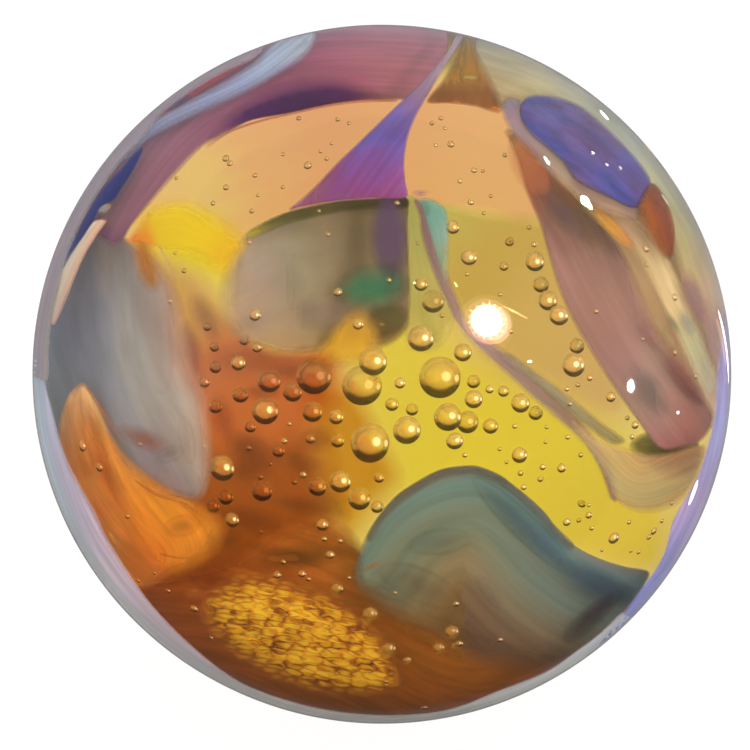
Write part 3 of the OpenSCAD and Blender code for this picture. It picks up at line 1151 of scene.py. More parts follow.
swirl(
    "grey_thumb",
    [(216, 292, 26), (224, 260, 22), (240, 237, 10), (262, 223, 4), (290, 211, 3), (336, 201, 2),
     (371, 198, 2), (406, 197, 2), (408, 230, 2.5), (410, 270, 3), (411, 310, 5), (406, 332, 9),
     (391, 346, 10), (372, 351, 10), (345, 349, 10), (320, 353, 10), (292, 355, 10), (262, 348, 12),
     (234, 342, 22), (218, 318, 26)],
    [(222, 300), (300, 278), (408, 272)],
    72,
    swirl_material(
        "grey_thumb",
        inks(0.25, [(0.0, (196, 148, 74)), (0.12, (170, 136, 82)), (0.3, (162, 142, 98)), (0.48, (158, 150, 108)),
                    (0.66, (142, 130, 100)), (0.8, (116, 98, 84)), (1.0, (100, 84, 74))]),
        inks(0.25, [(0.0, (112, 102, 44)), (0.09, (116, 106, 52)), (0.16, (148, 134, 92)),
                    (0.5, (156, 144, 108)), (0.8, (156, 132, 92)), (1.0, (176, 134, 72))]),
        cross_mix=0.5, streak=0.2, streak_at=(2.5, 2.5), opacity=0.97, wobble=0.2,
    ),
    depth=thumb_depth,
)
blot("thumb_glow", 282, 284, 44, 30, 15, 26, [(0, (164, 140, 92, 0.6)), (0.5, (172, 160, 118)), (1, (166, 152, 120, 0.6))], 0.22, opacity=0.45)
blot("thumb_plum", 322, 312, 42, 20, 5, 18, [(0, (160, 136, 112, 0.5)), (0.5, (150, 124, 116)), (1, (146, 120, 112, 0.6))], 0.24, opacity=0.45)
swirl(
    "olive_edge",
    band([(246, 232, 4), (262, 222, 3), (290, 210.5, 2), (336, 201, 1.5), (371, 198, 1.5), (406, 197, 1.5)],
         [(250, 240, 5), (266, 234, 5), (292, 224, 5), (336, 214, 5), (371, 210, 5), (406, 209, 4)]),
    [(248, 236), (290, 218), (336, 208), (406, 203)],
    7,
    swirl_material(
        "olive_edge",
        inks(0.24, [(0.0, (196, 172, 44)), (0.2, (134, 122, 50)), (0.5, (116, 104, 54)), (0.8, (92, 78, 50)), (1.0, (80, 62, 48))]),
        streak=0.3, opacity=0.85,
    ),
    depth=lambda xy: thumb_depth(xy) - 0.025, thick=0.00015,
)
blot("plum_stripe", 389, 238, 46, 22, -88, 13,
     [(0, (104, 80, 92, 0.8)), (0.5, (102, 76, 86)), (1, (94, 70, 70))], 0.3, opacity=0.8)
blot("green_patch", 373, 288, 40, 27, 8, 24,
     [(0, (116, 136, 100, 0.7)), (0.45, (88, 122, 90)), (1, (66, 92, 76))], 0.29, opacity=0.88)
blot("ember_shade", 262, 362, 62, 26, -4, 24,
     [(0, (150, 92, 70, 0.5)), (0.5, (156, 90, 62)), (1, (150, 86, 52, 0.4))], 0.62, opacity=0.38)
blot("olive_lobe", 385, 322, 27, 22, 20, 11,
     [(0, (128, 108, 62, 0.8)), (0.5, (112, 92, 56)), (1, (108, 92, 60))], 0.30, opacity=0.8)
swirl(
    "gold_wedge",
    [(306, 364, 14), (320, 340, 16), (338, 317, 14), (360, 303, 12), (380, 318, 20), (384, 342, 22), (372, 368, 20)],
    [(362, 310), (346, 334), (334, 360)],
    18,
    swirl_material("gold_wedge", inks(0.29, [(0, (200, 146, 64, 0.4)), (0.3, (218, 160, 54)), (0.7, (226, 170, 50)), (1, (230, 176, 46))]), opacity=0.92, streak=0.06),
    depth=0.27,
)


# the mauve-grey ribbon on the right
def right_depth(xy):
    return 0.3 - 0.08 * smooth(560, 690, xy[:, 0])


swirl(
    "right_ribbon",
    [(503, 128, 8), (508, 142, 6), (517, 163, 4), (526, 194, 4), (538, 222, 4), (547, 252, 4),
     (556, 284, 5), (572, 322, 6), (592, 356, 6), (612, 387, 5), (636, 421, 4), (658, 449, 4),
     (682, 449, 4), (704, 440, 4), (716, 416, 6), (704, 392, 10), (688, 372, 12), (668, 344, 16),
     (652, 314, 18), (640, 284, 14), (627, 256, 8), (612, 234, 6), (592, 212, 6), (576, 192, 6), (556, 170, 8), (536, 148, 8),
     (520, 130, 8)],
    [(510, 128), (560, 235), (610, 330), (684, 436)],
    42,
    swirl_material(
        "right_ribbon",
        inks(0.24, [(0.0, (206, 152, 74)), (0.08, (196, 126, 62)), (0.16, (188, 108, 62)), (0.22, (146, 92, 74)),
                    (0.28, (116, 86, 82)), (0.34, (128, 98, 94)), (0.4, (144, 114, 110)), (0.55, (152, 120, 112)),
                    (0.7, (152, 122, 118)), (0.84, (144, 126, 106)), (1.0, (160, 106, 84))]),
        inks(0.24, [(0.0, (122, 104, 72)), (0.16, (138, 112, 88)), (0.45, (152, 118, 104)), (0.8, (148, 116, 114)),
                    (1.0, (152, 114, 104))]),
        cross_mix=0.35, streak=0.3, streak_at=(2.4, 4.0), opacity=0.96, wobble=0.14,
    ),
    depth=right_depth,
)
blot("ribbon_glow", 530, 167, 38, 19, -64, 9,
     [(0, (206, 150, 74, 0.8)), (0.35, (208, 128, 66)), (0.7, (196, 114, 66)), (1, (160, 104, 80, 0.5))], 0.145, opacity=0.62)
blot("ribbon_dusk", 563, 214, 34, 14, -52, 13,
     [(0, (112, 80, 74, 0.6)), (0.5, (110, 82, 78)), (1, (118, 92, 84, 0.5))], 0.15, opacity=0.6)
swirl(
    "beige_stripe",
    band(
        [(598, 194, 8), (624, 204, 8), (652, 232, 8), (672, 262, 9), (690, 300, 9), (706, 340, 9), (718, 380, 6)],
        [(588, 204, 8), (608, 222, 8), (634, 252, 9), (650, 282, 10), (664, 314, 10), (682, 352, 9), (706, 396, 6)],
    ),
    [(594, 199), (643, 246), (678, 310), (714, 388)],
    11,
    swirl_material(
        "beige_stripe",
        inks(0.2, [(0.0, (190, 152, 112)), (0.18, (178, 142, 120)), (0.36, (190, 158, 124)), (0.6, (198, 168, 132)), (0.78, (178, 166, 136)), (1.0, (178, 160, 146))]),
        streak=0.4, streak_at=(3, 4), opacity=0.8, wobble=0.15,
    ),
    depth=0.2,
)
swirl(
    "right_fill",
    [(566, 178, 8), (600, 182, 8), (650, 180, 8), (678, 172, 6), (712, 232, 5), (732, 310, 4), (734, 400, 4), (712, 430, 6),
     (690, 408, 8), (664, 372, 10), (640, 334, 12), (624, 300, 12), (612, 262, 10), (596, 232, 8), (578, 204, 8)],
    [(572, 184), (634, 240), (682, 320), (712, 416)],
    32,
    swirl_material(
        "right_fill",
        inks(0.3, [(0.0, (204, 158, 112)), (0.25, (200, 162, 120)), (0.5, (198, 164, 126)), (0.75, (184, 150, 122)), (1.0, (174, 152, 146))]),
        inks(0.3, [(0.0, (184, 166, 120)), (0.4, (196, 160, 124)), (0.8, (196, 154, 116)), (1.0, (186, 140, 104))]),
        cross_mix=0.5, streak=0.35, streak_at=(2.0, 3.0), opacity=0.97, wobble=0.2,
    ),
    depth=0.34,
)
blot("green_crease", 674, 324, 16, 4.5, -60, 4, [(0, (150, 146, 112, 0.4)), (0.5, (130, 128, 92)), (1, (146, 142, 108, 0.5))], 0.15, opacity=0.7)
blot("sage_slip", 687, 322, 17, 8, -62, 7, [(0, (184, 168, 138, 0.5)), (0.5, (168, 166, 138)), (1, (172, 164, 146, 0.5))], 0.16, opacity=0.65)
blot("lime_slip", 664, 330, 32, 5, -56, 5, [(0, (190, 158, 112, 0.4)), (0.5, (184, 166, 104)), (1, (184, 158, 108, 0.4))], 0.16, opacity=0.7)
blot("mauve_tan", 694, 296, 34, 12, -66, 10, [(0, (190, 150, 112, 0.3)), (0.4, (178, 136, 116)), (0.8, (184, 134, 122)), (1, (190, 142, 130, 0.6))], 0.16, opacity=0.8)
blot("rose_slip", 712, 330, 34, 9, -80, 8, [(0, (206, 160, 126, 0.5)), (0.5, (196, 150, 134)), (1, (186, 148, 156, 0.6))], 0.05, opacity=0.7)
# painted highlight: a peach glow at the rim beside the white rim glint
blot("rim_peach", 719, 316, 14, 4, -80, 3.5, [(0, (216, 160, 130, 0.5)), (0.5, (224, 158, 128)), (1, (214, 150, 132, 0.5))], 0.03, opacity=0.8)
blot("orange_slip", 612, 226, 36, 9, -46, 7, [(0, (212, 158, 92, 0.7)), (0.4, (222, 166, 84)), (0.8, (216, 150, 92)), (1, (204, 146, 108, 0.6))], 0.19, opacity=0.9)
blot("rust_streak", 682, 376, 40, 11, -54, 9, [(0, (170, 120, 104, 0.5)), (0.45, (168, 106, 82)), (0.8, (158, 98, 74)), (1, (156, 92, 74))], 0.2, opacity=0.75)
blot("rose_streak", 647, 330, 26, 9, -62, 9, [(0, (168, 122, 96, 0.4)), (0.5, (168, 114, 96)), (1, (166, 112, 90, 0.5))], 0.2, opacity=0.55)
blot("sage_low", 650, 390, 36, 14, -56, 12, [(0, (148, 122, 114, 0.4)), (0.5, (138, 126, 104)), (1, (136, 122, 102, 0.7))], 0.22, opacity=0.6)
swirl(
    "blue_oval",
    [(520, 106, 2), (526, 97, 3), (538, 94, 4), (558, 96, 5), (583, 106, 4), (607, 126, 4),
     (629, 148, 4), (646, 169, 4), (652, 184, 3), (646, 203, 2.5), (632, 208, 2.5), (608, 197, 3),
     (592, 190, 5), (574, 180, 5), (562, 162, 4), (546, 148, 6), (532, 136, 5), (521, 120, 3)],
    [(523, 108), (590, 146), (648, 200)],
    34,
    swirl_material(
        "blue_oval",
        inks(0.13, [(0.0, (104, 104, 146)), (0.2, (98, 100, 152)), (0.38, (120, 96, 132)), (0.6, (118, 96, 134)),
                    (0.8, (94, 96, 154)), (1.0, (116, 86, 134))]),
        inks(0.13, [(0.0, (120, 100, 108)), (0.16, (116, 98, 118)), (0.3, (102, 98, 140)), (0.5, (110, 90, 136)),
                    (0.7, (94, 96, 156)), (0.9, (104, 96, 146)), (1.0, (134, 106, 134))]),
        cross_mix=0.6, streak=0.6, streak_at=(5.0, 3.6), opacity=0.97, wobble=0.3,
    ),
    depth=0.13,
)
blot("oval_blue_a", 562, 151, 16, 8, -40, 8, [(0, (98, 104, 158, 0.6)), (0.5, (92, 104, 168)), (1, (100, 100, 156, 0.5))], 0.125, opacity=0.6)
blot("oval_blue_b", 607, 176, 22, 9, -32, 9, [(0, (104, 98, 156, 0.5)), (0.5, (92, 102, 168)), (1, (94, 100, 162, 0.5))], 0.125, opacity=0.65)
blot("oval_pink_a", 556, 107, 16, 6, -14, 6, [(0, (126, 104, 122, 0.5)), (0.5, (134, 98, 122)), (1, (122, 98, 124, 0.5))], 0.125, opacity=0.6)
blot("oval_pink_b", 588, 142, 24, 9, -38, 9, [(0, (122, 92, 130, 0.4)), (0.5, (126, 90, 128)), (1, (116, 88, 134, 0.5))], 0.125, opacity=0.55)
blot("oval_plum", 634, 184, 18, 10, -60, 9, [(0, (112, 88, 132, 0.5)), (0.5, (120, 86, 134)), (1, (118, 88, 138, 0.6))], 0.125, opacity=0.6)
swirl(
    "oval_halo",
    [(500, 106, 6), (508, 97, 5), (520, 99, 4), (532, 112, 4), (560, 140, 4), (600, 172, 4), (640, 198, 4), (650, 208, 5),
     (634, 222, 7), (600, 212, 7), (572, 196, 8), (545, 172, 8), (522, 148, 7), (506, 126, 6)],
    [(506, 100), (530, 138), (580, 186), (640, 214)],
    16,
    swirl_material(
        "oval_halo",
        inks(0.14, [(0.0, (154, 134, 148)), (0.2, (162, 142, 142)), (0.45, (170, 144, 130)), (0.65, (176, 142, 116)), (0.85, (190, 154, 116)), (1.0, (180, 144, 120))]),
        streak=0.35, streak_at=(4.0, 3.0), opacity=0.82, wobble=0.2,
    ),
    depth=0.145,
)
swirl(
    "amber_lobe",
    [(651, 182, 3), (662, 190, 3), (671, 208, 3), (676, 231, 3), (674, 256, 4), (664, 260, 9), (648, 240, 12),
     (636, 214, 11), (639, 198, 6)],
    [(652, 190), (661, 222), (668, 253)],
    12,
    swirl_material(
        "amber_lobe",
        inks(0.12, [(0.0, (104, 66, 38)), (0.2, (150, 82, 34)), (0.45, (176, 98, 34)), (0.75, (170, 92, 30)), (1.0, (164, 94, 40))]),
        inks(0.12, [(0.0, (150, 84, 28)), (0.35, (160, 86, 26)), (0.6, (186, 108, 40)), (1.0, (202, 132, 62))]),
        streak=0.2, streak_at=(2.0, 3.0), opacity=0.96, dark=0.25, through=0.1, wobble=0.2,
    ),
    depth=0.12,
)
swirl(
    "rim_right",
    [(474, 56, 5), (480, 80, 5), (492, 106, 5), (508, 112, 6), (540, 110, 8), (580, 130, 8),
     (620, 168, 8), (648, 206, 8), (668, 240, 10), (680, 280, 10), (694, 318, 8), (708, 352, 6),
     (720, 386, 4)]
    + softly(arc(-2, 74, 349.3), 1.2),
    [(480, 62), (560, 92), (630, 146), (690, 236), (722, 340)],
    26,
    swirl_material(
        "rim_right",
        inks(0.2, [(0.0, (178, 160, 128)), (0.12, (188, 174, 138)), (0.22, (170, 168, 150)), (0.33, (156, 168, 158)), (0.43, (162, 174, 174)),
                   (0.56, (172, 174, 138)), (0.7, (176, 166, 112)), (0.8, (186, 156, 108)), (0.9, (206, 160, 132)), (1.0, (190, 150, 144))]),
        inks(0.2, [(0.0, (158, 168, 164)), (0.3, (168, 168, 146)), (0.7, (182, 166, 118)),
                   (1.0, (188, 156, 108))]),
        streak=0.4, streak_at=(4, 3), opacity=0.95, wobble=0.15,
    ),
    depth=0.21,
)
swirl(
    "amber_wedge",
    [(466, 33, 3), (455, 56, 5), (441, 80, 5), (426, 102, 3), (450, 104, 2.5), (474, 107, 3),
     (500, 114, 5), (502, 98, 9), (492, 76, 10), (479, 52, 7)],
    [(467, 36), (466, 75), (464, 108)],
    26,
    swirl_material(
        "amber_wedge",
        inks(0.1, [(0.0, (162, 146, 116)), (0.3, (168, 136, 84)), (0.5, (174, 132, 62)),
                   (0.7, (158, 108, 42)), (0.84, (136, 86, 30)), (0.93, (150, 92, 30)), (1.0, (196, 120, 46))]),
        streak=0.5, streak_at=(3.0, 4.0), opacity=0.92, wobble=0.2,
    ),
    depth=0.1,
)
blot("yellow_fleck", 469, 77, 9, 3, -4, 2, [(0, (214, 180, 60)), (1, (226, 200, 90))], 0.09, opacity=0.9)
# the thin brown ribbon and the tail that it runs into
swirl(
    "thin_ribbon",
    band(
        [(413, 200, 3), (418, 216, 4), (420, 232, 4), (424, 250, 5), (430, 268, 5), (438, 288, 5), (445, 302, 5), (450, 314, 5),
         (459, 330, 5), (476, 349, 6), (499, 369, 7), (526, 394, 7), (553, 418, 7), (584, 446, 6), (600, 474, 5), (610, 500, 4)],
        [(421, 200, 3), (430, 216, 4), (435, 232, 5), (440, 250, 6), (447, 268, 6), (455, 288, 7), (461, 302, 7), (466, 314, 7),
         (476, 328, 8), (496, 342, 8), (520, 360, 8), (546, 384, 8), (572, 408, 7), (596, 438, 5), (612, 468, 5), (619, 500, 4)],
    ),
    [(417, 200), (430, 246), (458, 312), (528, 385), (590, 442), (614, 500)],
    8,
    swirl_material(
        "thin_ribbon",
        inks(0.4, [(0.0, (146, 104, 92)), (0.15, (138, 96, 84)), (0.26, (156, 118, 96)), (0.34, (164, 132, 120)), (0.45, (160, 132, 128)), (0.56, (166, 140, 112)), (0.68, (176, 146, 104)), (0.84, (190, 150, 96)), (1.0, (188, 146, 88))]),
        inks(0.4, [(0.0, (150, 106, 82)), (0.4, (150, 112, 92)), (0.8, (166, 138, 112)), (1.0, (186, 160, 116, 0.6))]),
        cross_mix=0.45, streak=0.3, opacity=0.87, wobble=0.1,
    ),
    depth=0.405, thick=0.0002, spacing=2.5,
)
swirl(
    "pale_thread",
    band(
        [(500, 360, 3), (530, 381, 3), (556, 403, 4), (586, 428, 4), (612, 446, 5)],
        [(510, 352, 3), (540, 374, 3), (568, 394, 4), (600, 420, 4), (626, 440, 5)],
    ),
    [(504, 355), (534, 378), (576, 411), (620, 443)],
    8,
    swirl_material("pale_thread", inks(0.3, [(0.0, (160, 150, 120, 0.5)), (0.4, (174, 164, 130)), (1.0, (176, 160, 112))]), streak=0.4, opacity=0.8),
    depth=0.32, thick=0.0002,
)
swirl(
    "tail",
    [(560, 408, 8), (590, 430, 8), (622, 446, 7), (660, 453, 6),
     (704, 444, 4), (704, 468, 6), (690, 496, 9), (668, 511, 9), (640, 514, 8), (616, 502, 4),
     (607, 480, 4), (592, 456, 4), (574, 430, 6)],
    [(562, 412), (600, 452), (640, 484), (696, 462)],
    22,
    swirl_material(
        "tail",
        inks(0.2, [(0.0, (186, 150, 100)), (0.3, (182, 154, 100)), (0.5, (184, 160, 108)),
                   (0.7, (178, 160, 108)), (0.85, (188, 146, 92)), (1.0, (186, 136, 80))]),
        inks(0.2, [(0.0, (190, 140, 82)), (0.4, (184, 154, 100)), (0.8, (172, 164, 114)), (1.0, (186, 150, 98))]),
        cross_mix=0.5, streak=0.4, opacity=0.76,
    ),
    depth=0.22,
)
# facets beside the thumb
swirl(
    "teal_facet",
    [(419, 199, 3), (430, 198, 4), (441, 203, 5), (448, 212, 4), (450, 240, 5), (450, 270, 7), (450, 296, 9), (440, 276, 6), (432, 244, 3), (424, 214, 2)],
    [(428, 199), (440, 236), (448, 292)],
    10,
    swirl_material("teal_facet", inks(0.3, [(0.0, (120, 162, 134)), (0.2, (126, 168, 142)), (0.42, (148, 168, 150)), (0.65, (160, 160, 126, 0.9)), (1.0, (176, 158, 112, 0.4))]), streak=0.3, opacity=0.85),
    depth=0.3, thick=0.0002,
)
blot("pink_facet", 421, 193, 10, 4, 0, 4, [(0, (196, 140, 146, 0.7)), (0.5, (206, 148, 146)), (1, (220, 158, 126, 0.4))], 0.3, opacity=0.75)
blot("jade_facet", 426, 209, 8, 5, -60, 4, [(0, (116, 164, 134)), (1, (110, 160, 124))], 0.29, opacity=0.6)
swirl(
    "lime_strip",
    [(402, 197, 2), (420, 200, 2), (427, 228, 3), (433, 250, 3), (442, 276, 4), (452, 300, 5), (456, 320, 8), (444, 346, 12),
     (424, 354, 12), (404, 344, 8), (404, 300, 3), (404, 260, 2), (403, 230, 2)],
    [(410, 200), (418, 260), (430, 345)],
    12,
    swirl_material("lime_strip", inks(0.4, [(0.0, (196, 182, 96)), (0.3, (200, 190, 110)), (0.6, (206, 200, 100)), (1.0, (224, 208, 86))], k=1.65),
                   inks(0.4, [(0, (206, 196, 116)), (0.42, (200, 188, 108)), (0.5, (178, 162, 92)), (0.58, (204, 190, 96)), (1, (208, 196, 100))], k=1.65),
                   cross_mix=0.5, streak=0.12, streak_at=(1.6, 3.0), opacity=0.8, through=0.5),
    depth=0.46, thick=0.0002,
)
# the slate and teal wave
swirl(
    "wave",
    [(352, 572, 14), (362, 542, 6), (376, 519, 2.5), (395, 497, 2), (415, 483, 2), (440, 470, 2),
     (465, 466, 2), (480, 467, 2), (500, 475, 2), (515, 486, 2), (530, 498, 2), (545, 512, 2),
     (556, 526, 2), (575, 545, 2), (600, 558, 2), (625, 566, 2), (650, 572, 3), (641, 592, 3),
     (622, 614, 3), (598, 640, 6), (564, 668, 20), (520, 676, 40), (476, 670, 42), (436, 650, 42),
     (400, 628, 40), (372, 606, 34), (356, 590, 24)],
    [(346, 586), (372, 552), (392, 524), (424, 502), (466, 490), (500, 498), (530, 522), (562, 556), (600, 580), (656, 596)],
    110,
    swirl_material(
        "wave",
        inks(0.22, [(0.0, (126, 112, 66)), (0.25, (108, 110, 88)), (0.5, (98, 110, 96)),
                    (0.72, (86, 104, 106)), (0.88, (80, 92, 100)), (1.0, (76, 80, 88))]),
        inks(0.22, [(0.38, (114, 102, 88)), (0.42, (108, 106, 92)), (0.475, (94, 114, 104)), (0.53, (98, 112, 98)),
                    (0.59, (104, 106, 86)), (0.66, (108, 114, 92)), (0.73, (122, 114, 84)),
                    (0.82, (130, 106, 70)), (0.91, (122, 88, 50)), (1.0, (112, 72, 36))]),
        cross_mix=0.8, streak=0.35, streak_at=(1.3, 8.0), opacity=0.985, wobble=0.05,
    ),
    depth=0.19,
)
swirl(
    "wave_edge",
    band(
        [(366, 537, 2), (376, 518, 1.5), (395, 496, 1.5), (415, 482, 1.5), (440, 469, 1.5), (465, 465, 1.5), (480, 466, 1.5),
         (500, 474, 1.5), (515, 485, 1.5), (530, 497, 1.5), (545, 511, 1.5), (556, 525, 1.5), (575, 544, 2)],
        [(372, 543, 5), (384, 524, 5), (402, 505, 5), (420, 492, 5), (442, 480, 5), (464, 475, 5), (478, 476, 5),
         (495, 483, 5), (509, 493, 5), (523, 505, 5), (537, 519, 5), (548, 533, 5), (568, 551, 5)],
    ),
    [(369, 540), (418, 487), (470, 471), (526, 501), (572, 548)],
    5,
    swirl_material("wave_edge", inks(0.2, [(0.0, (124, 108, 72, 0.7)), (0.4, (120, 106, 86)), (0.6, (112, 104, 86)), (1.0, (104, 104, 92, 0.6))]), streak=0.3, opacity=0.75),
    depth=0.175, thick=0.00015,
)
blot("teal_streak", 524, 526, 74, 15, -44, 12,
     [(0, (98, 118, 106, 0.4)), (0.4, (90, 116, 114)), (0.75, (84, 108, 120)), (1, (80, 100, 112, 0.7))], 0.18, opacity=0.7)
blot("slate_end", 598, 584, 50, 18, -26, 14,
     [(0, (86, 100, 104, 0.5)), (0.5, (78, 98, 106)), (1, (72, 86, 96, 0.8))], 0.17, opacity=0.6)
blot("plum_end", 590, 618, 38, 12, 42, 10,
     [(0, (96, 80, 66, 0.6)), (0.6, (86, 74, 72)), (1, (78, 70, 76))], 0.16, opacity=0.7)
blot("tan_ridge", 490, 592, 22, 9, -52, 8,
     [(0, (136, 122, 90, 0.6)), (0.6, (142, 124, 92)), (1, (134, 112, 80, 0.5))], 0.18, opacity=0.5)
blot("green_mist", 440, 542, 34, 15, 8, 14,
     [(0, (112, 122, 96, 0.6)), (0.6, (114, 128, 104)), (1, (112, 120, 98, 0.5))], 0.18, opacity=0.5)
blot("taupe_mist", 420, 586, 46, 20, -24, 19,
     [(0, (126, 108, 74, 0.5)), (0.5, (130, 112, 76)), (1, (126, 98, 62, 0.6))], 0.18, opacity=0.6)
# the pale crescents along the low rim, painted rim light: the bright surroundings as the edge of the glass shows them
swirl(
    "crescent_low",
    softly(arc(177, 316, 349.3), 1.2)
    + [(622, 612, 5), (600, 633, 3), (575, 652, 2), (545, 672, 2), (500, 690, 2), (450, 709, 2), (400, 715, 2),
       (350, 713, 2), (300, 704, 2), (250, 687, 2), (220, 669, 2), (190, 644, 2.5), (160, 614, 2.5),
       (140, 589, 3), (121, 560, 5), (106, 534, 6), (95, 510, 6), (82, 487, 6), (70, 465, 5), (61, 441, 4),
       (53, 412, 3), (46, 385, 3), (42, 362, 3)],
    arc(177, 316, 341),
    9,
    swirl_material(
        "crescent_low",
        inks(0.03, [(0.0, (134, 146, 148)), (0.14, (140, 146, 146)), (0.3, (166, 156, 166)), (0.6, (172, 164, 172)), (1.0, (168, 166, 190))]),
        inks(0.03, [(0.0, (168, 150, 146)), (0.3, (168, 154, 166)), (0.6, (156, 162, 176)), (0.85, (160, 168, 160)), (1.0, (186, 194, 160))]),
        streak=0.35, streak_at=(6, 3), opacity=0.96,
    ),
    depth=0.03,
)
swirl(
    "crescent_right",
    softly(arc(306, 371, 349.3), 1.2)
    + [(723, 322, 8), (718, 352, 8), (715, 386, 5), (714, 416, 3), (706, 450, 2.5), (698, 474, 2.5), (690, 490, 2),
       (673, 520, 2), (665, 550, 2), (655, 570, 2), (640, 590, 2), (616, 622, 4), (598, 642, 5)],
    arc(306, 371, 338),
    14,
    swirl_material(
        "crescent_right",
        inks(0.03, [(0.0, (156, 164, 190)), (0.25, (150, 160, 206)), (0.5, (194, 170, 184)),
                    (0.65, (172, 174, 192)), (0.85, (182, 164, 184)), (1.0, (188, 160, 160))]),
        inks(0.03, [(0.0, (190, 172, 184)), (0.6, (172, 170, 190)), (1.0, (174, 180, 188))]),
        cross_mix=0.35, streak=0.5, streak_at=(5, 4), opacity=0.94,
    ),
    depth=0.03,
)


# clear glass of other tints, behind the swirls
def tint(name, outline, spine, half, stops, cross=None, over=None, depth=0.5, spacing=9.0, wobble=0.1, thick=0.0006):
    ob = lens_mesh(name, outline, spine, half, on_face(depth), thick, spacing)
    ob.data.materials.append(
        veil_material(name, shades(stops, over), shades(cross, over) if cross else None, wobble=wobble)
    )
    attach(ob, "root")
    return ob


tint(
    "rose_glass",
    [(112, 244, 8), (134, 196, 8), (196, 120, 12), (290, 76, 16), (420, 70, 20), (520, 86, 26),
     (560, 160, 26), (546, 222, 14), (480, 216, 12), (420, 206, 8), (340, 206, 10), (290, 236, 16),
     (246, 262, 24), (190, 262, 30), (140, 256, 16)],
    [(130, 220), (210, 180), (300, 146), (400, 130), (540, 160)],
    64,
    [(0, (228, 180, 96)), (0.18, (228, 184, 100)), (0.34, (216, 166, 108)), (0.5, (214, 158, 122)), (0.68, (226, 164, 116)), (0.85, (232, 168, 112)), (1, (230, 168, 104))],
    depth=0.5,
)
tint(
    "yellow_glass",
    [(140, 206, 14), (190, 196, 22), (240, 220, 26), (262, 262, 30), (232, 296, 30), (190, 280, 26),
     (136, 246, 10)],
    [(136, 225), (260, 270)],
    40,
    [(0, (255, 214, 60)), (0.5, (255, 214, 44)), (1, (240, 190, 60))],
    over=(236, 200, 100), depth=0.46,
)
tint(
    "right_gold",
    [(400, 196, 10), (480, 208, 12), (560, 220, 20), (600, 290, 30), (636, 372, 30), (640, 420, 40), (600, 440, 50), (540, 416, 50),
     (470, 374, 50), (430, 300, 30), (404, 250, 20)],
    [(430, 205), (520, 270), (600, 410)],
    80,
    [(0, (200, 176, 84)), (0.3, (204, 164, 76)), (0.6, (214, 170, 90)), (1, (214, 168, 96))],
    depth=0.53,
)
tint(
    "yellow_heart",
    [(400, 300, 30), (450, 330, 30), (520, 360, 50), (600, 400, 50), (670, 470, 40), (660, 570, 20),
     (560, 570, 40), (460, 560, 50), (390, 520, 50), (356, 440, 46), (340, 388, 34), (356, 340, 26)],
    [(390, 350), (450, 430), (620, 540)],
    110,
    [(0, (226, 204, 72)), (0.5, (226, 200, 60)), (1, (218, 190, 62))],
    depth=0.56,
)
tint(
    "gold_middle",
    [(298, 368, 26), (345, 380, 22), (370, 398, 24), (392, 440, 26), (408, 480, 30), (384, 520, 40), (350, 555, 40),
     (305, 505, 40), (292, 440, 40)],
    [(330, 385), (352, 440), (370, 530)],
    60,
    [(0, (206, 138, 50)), (0.5, (206, 144, 52)), (1, (204, 142, 38))],
    over=(228, 200, 90), depth=0.59,
)
tint(
    "left_amber",
    [(150, 252, 16), (200, 262, 30), (232, 300, 26), (270, 340, 18), (330, 346, 16), (356, 380, 40),
     (340, 430, 50), (352, 500, 50), (350, 560, 40), (300, 600, 50), (200, 610, 40), (130, 580, 24), (120, 500, 30),
     (150, 400, 24), (150, 310, 20)],
    [(180, 262), (200, 330), (250, 420), (250, 600)],
    100,
    [(0, (218, 168, 96)), (0.15, (214, 164, 94)), (0.3, (210, 152, 92)), (0.48, (214, 150, 74)), (0.66, (200, 132, 54)),
     (0.85, (186, 118, 44)), (1, (170, 104, 38))],
    depth=0.24, wobble=0.06,
)
tint(
    "left_ember",
    [(150, 252, 16), (200, 262, 30), (232, 300, 26), (270, 340, 18), (330, 346, 16), (356, 380, 40),
     (340, 430, 50), (352, 500, 50), (350, 560, 40), (300, 600, 50), (200, 610, 40), (130, 580, 24), (120, 500, 30),
     (150, 400, 24), (150, 310, 20)],
    [(180, 262), (200, 330), (250, 420), (250, 600)],
    100,
    [(0, (208, 150, 66)), (0.15, (204, 138, 66)), (0.3, (182, 112, 58)), (0.48, (182, 108, 54)), (0.66, (158, 96, 46)),
     (0.85, (150, 92, 38)), (1, (130, 76, 28))],
    over=(207, 150, 76), depth=0.62, wobble=0.12,
)
for i, (x, y, long, wide, turn, soft, colour) in enumerate([
    (222, 420, 30, 16, -75, 14, (214, 96, 40)), (255, 462, 34, 24, 30, 20, (140, 80, 34)),
    (300, 370, 40, 14, 10, 14, (184, 100, 50)), (190, 350, 34, 14, -80, 12, (164, 98, 78)),
    (298, 462, 20, 26, 60, 18, (186, 118, 38)), (250, 520, 40, 16, -12, 16, (178, 100, 44)),
    (330, 505, 26, 18, -40, 16, (196, 126, 34)), (316, 440, 24, 16, 10, 14, (190, 122, 58)),
    (205, 318, 30, 16, -60, 15, (184, 112, 74)), (190, 392, 26, 12, -76, 11, (180, 104, 60)),
    (300, 506, 34, 12, -10, 12, (172, 104, 44)), (218, 540, 28, 14, 0, 14, (168, 96, 40)),
    (245, 445, 22, 18, 0, 16, (132, 78, 36)), (262, 392, 24, 12, 0, 12, (176, 96, 48)),
]):
    # lifted a little, for the amber that lies over it
    colour = (colour[0], colour[1] + 16, colour[2] + 24)
    blot("ember_%d" % i, x, y, long, wide, turn, soft, [(0, (*colour, 0.7)), (0.5, colour), (1, (*colour, 0.7))], 0.6, opacity=0.5)
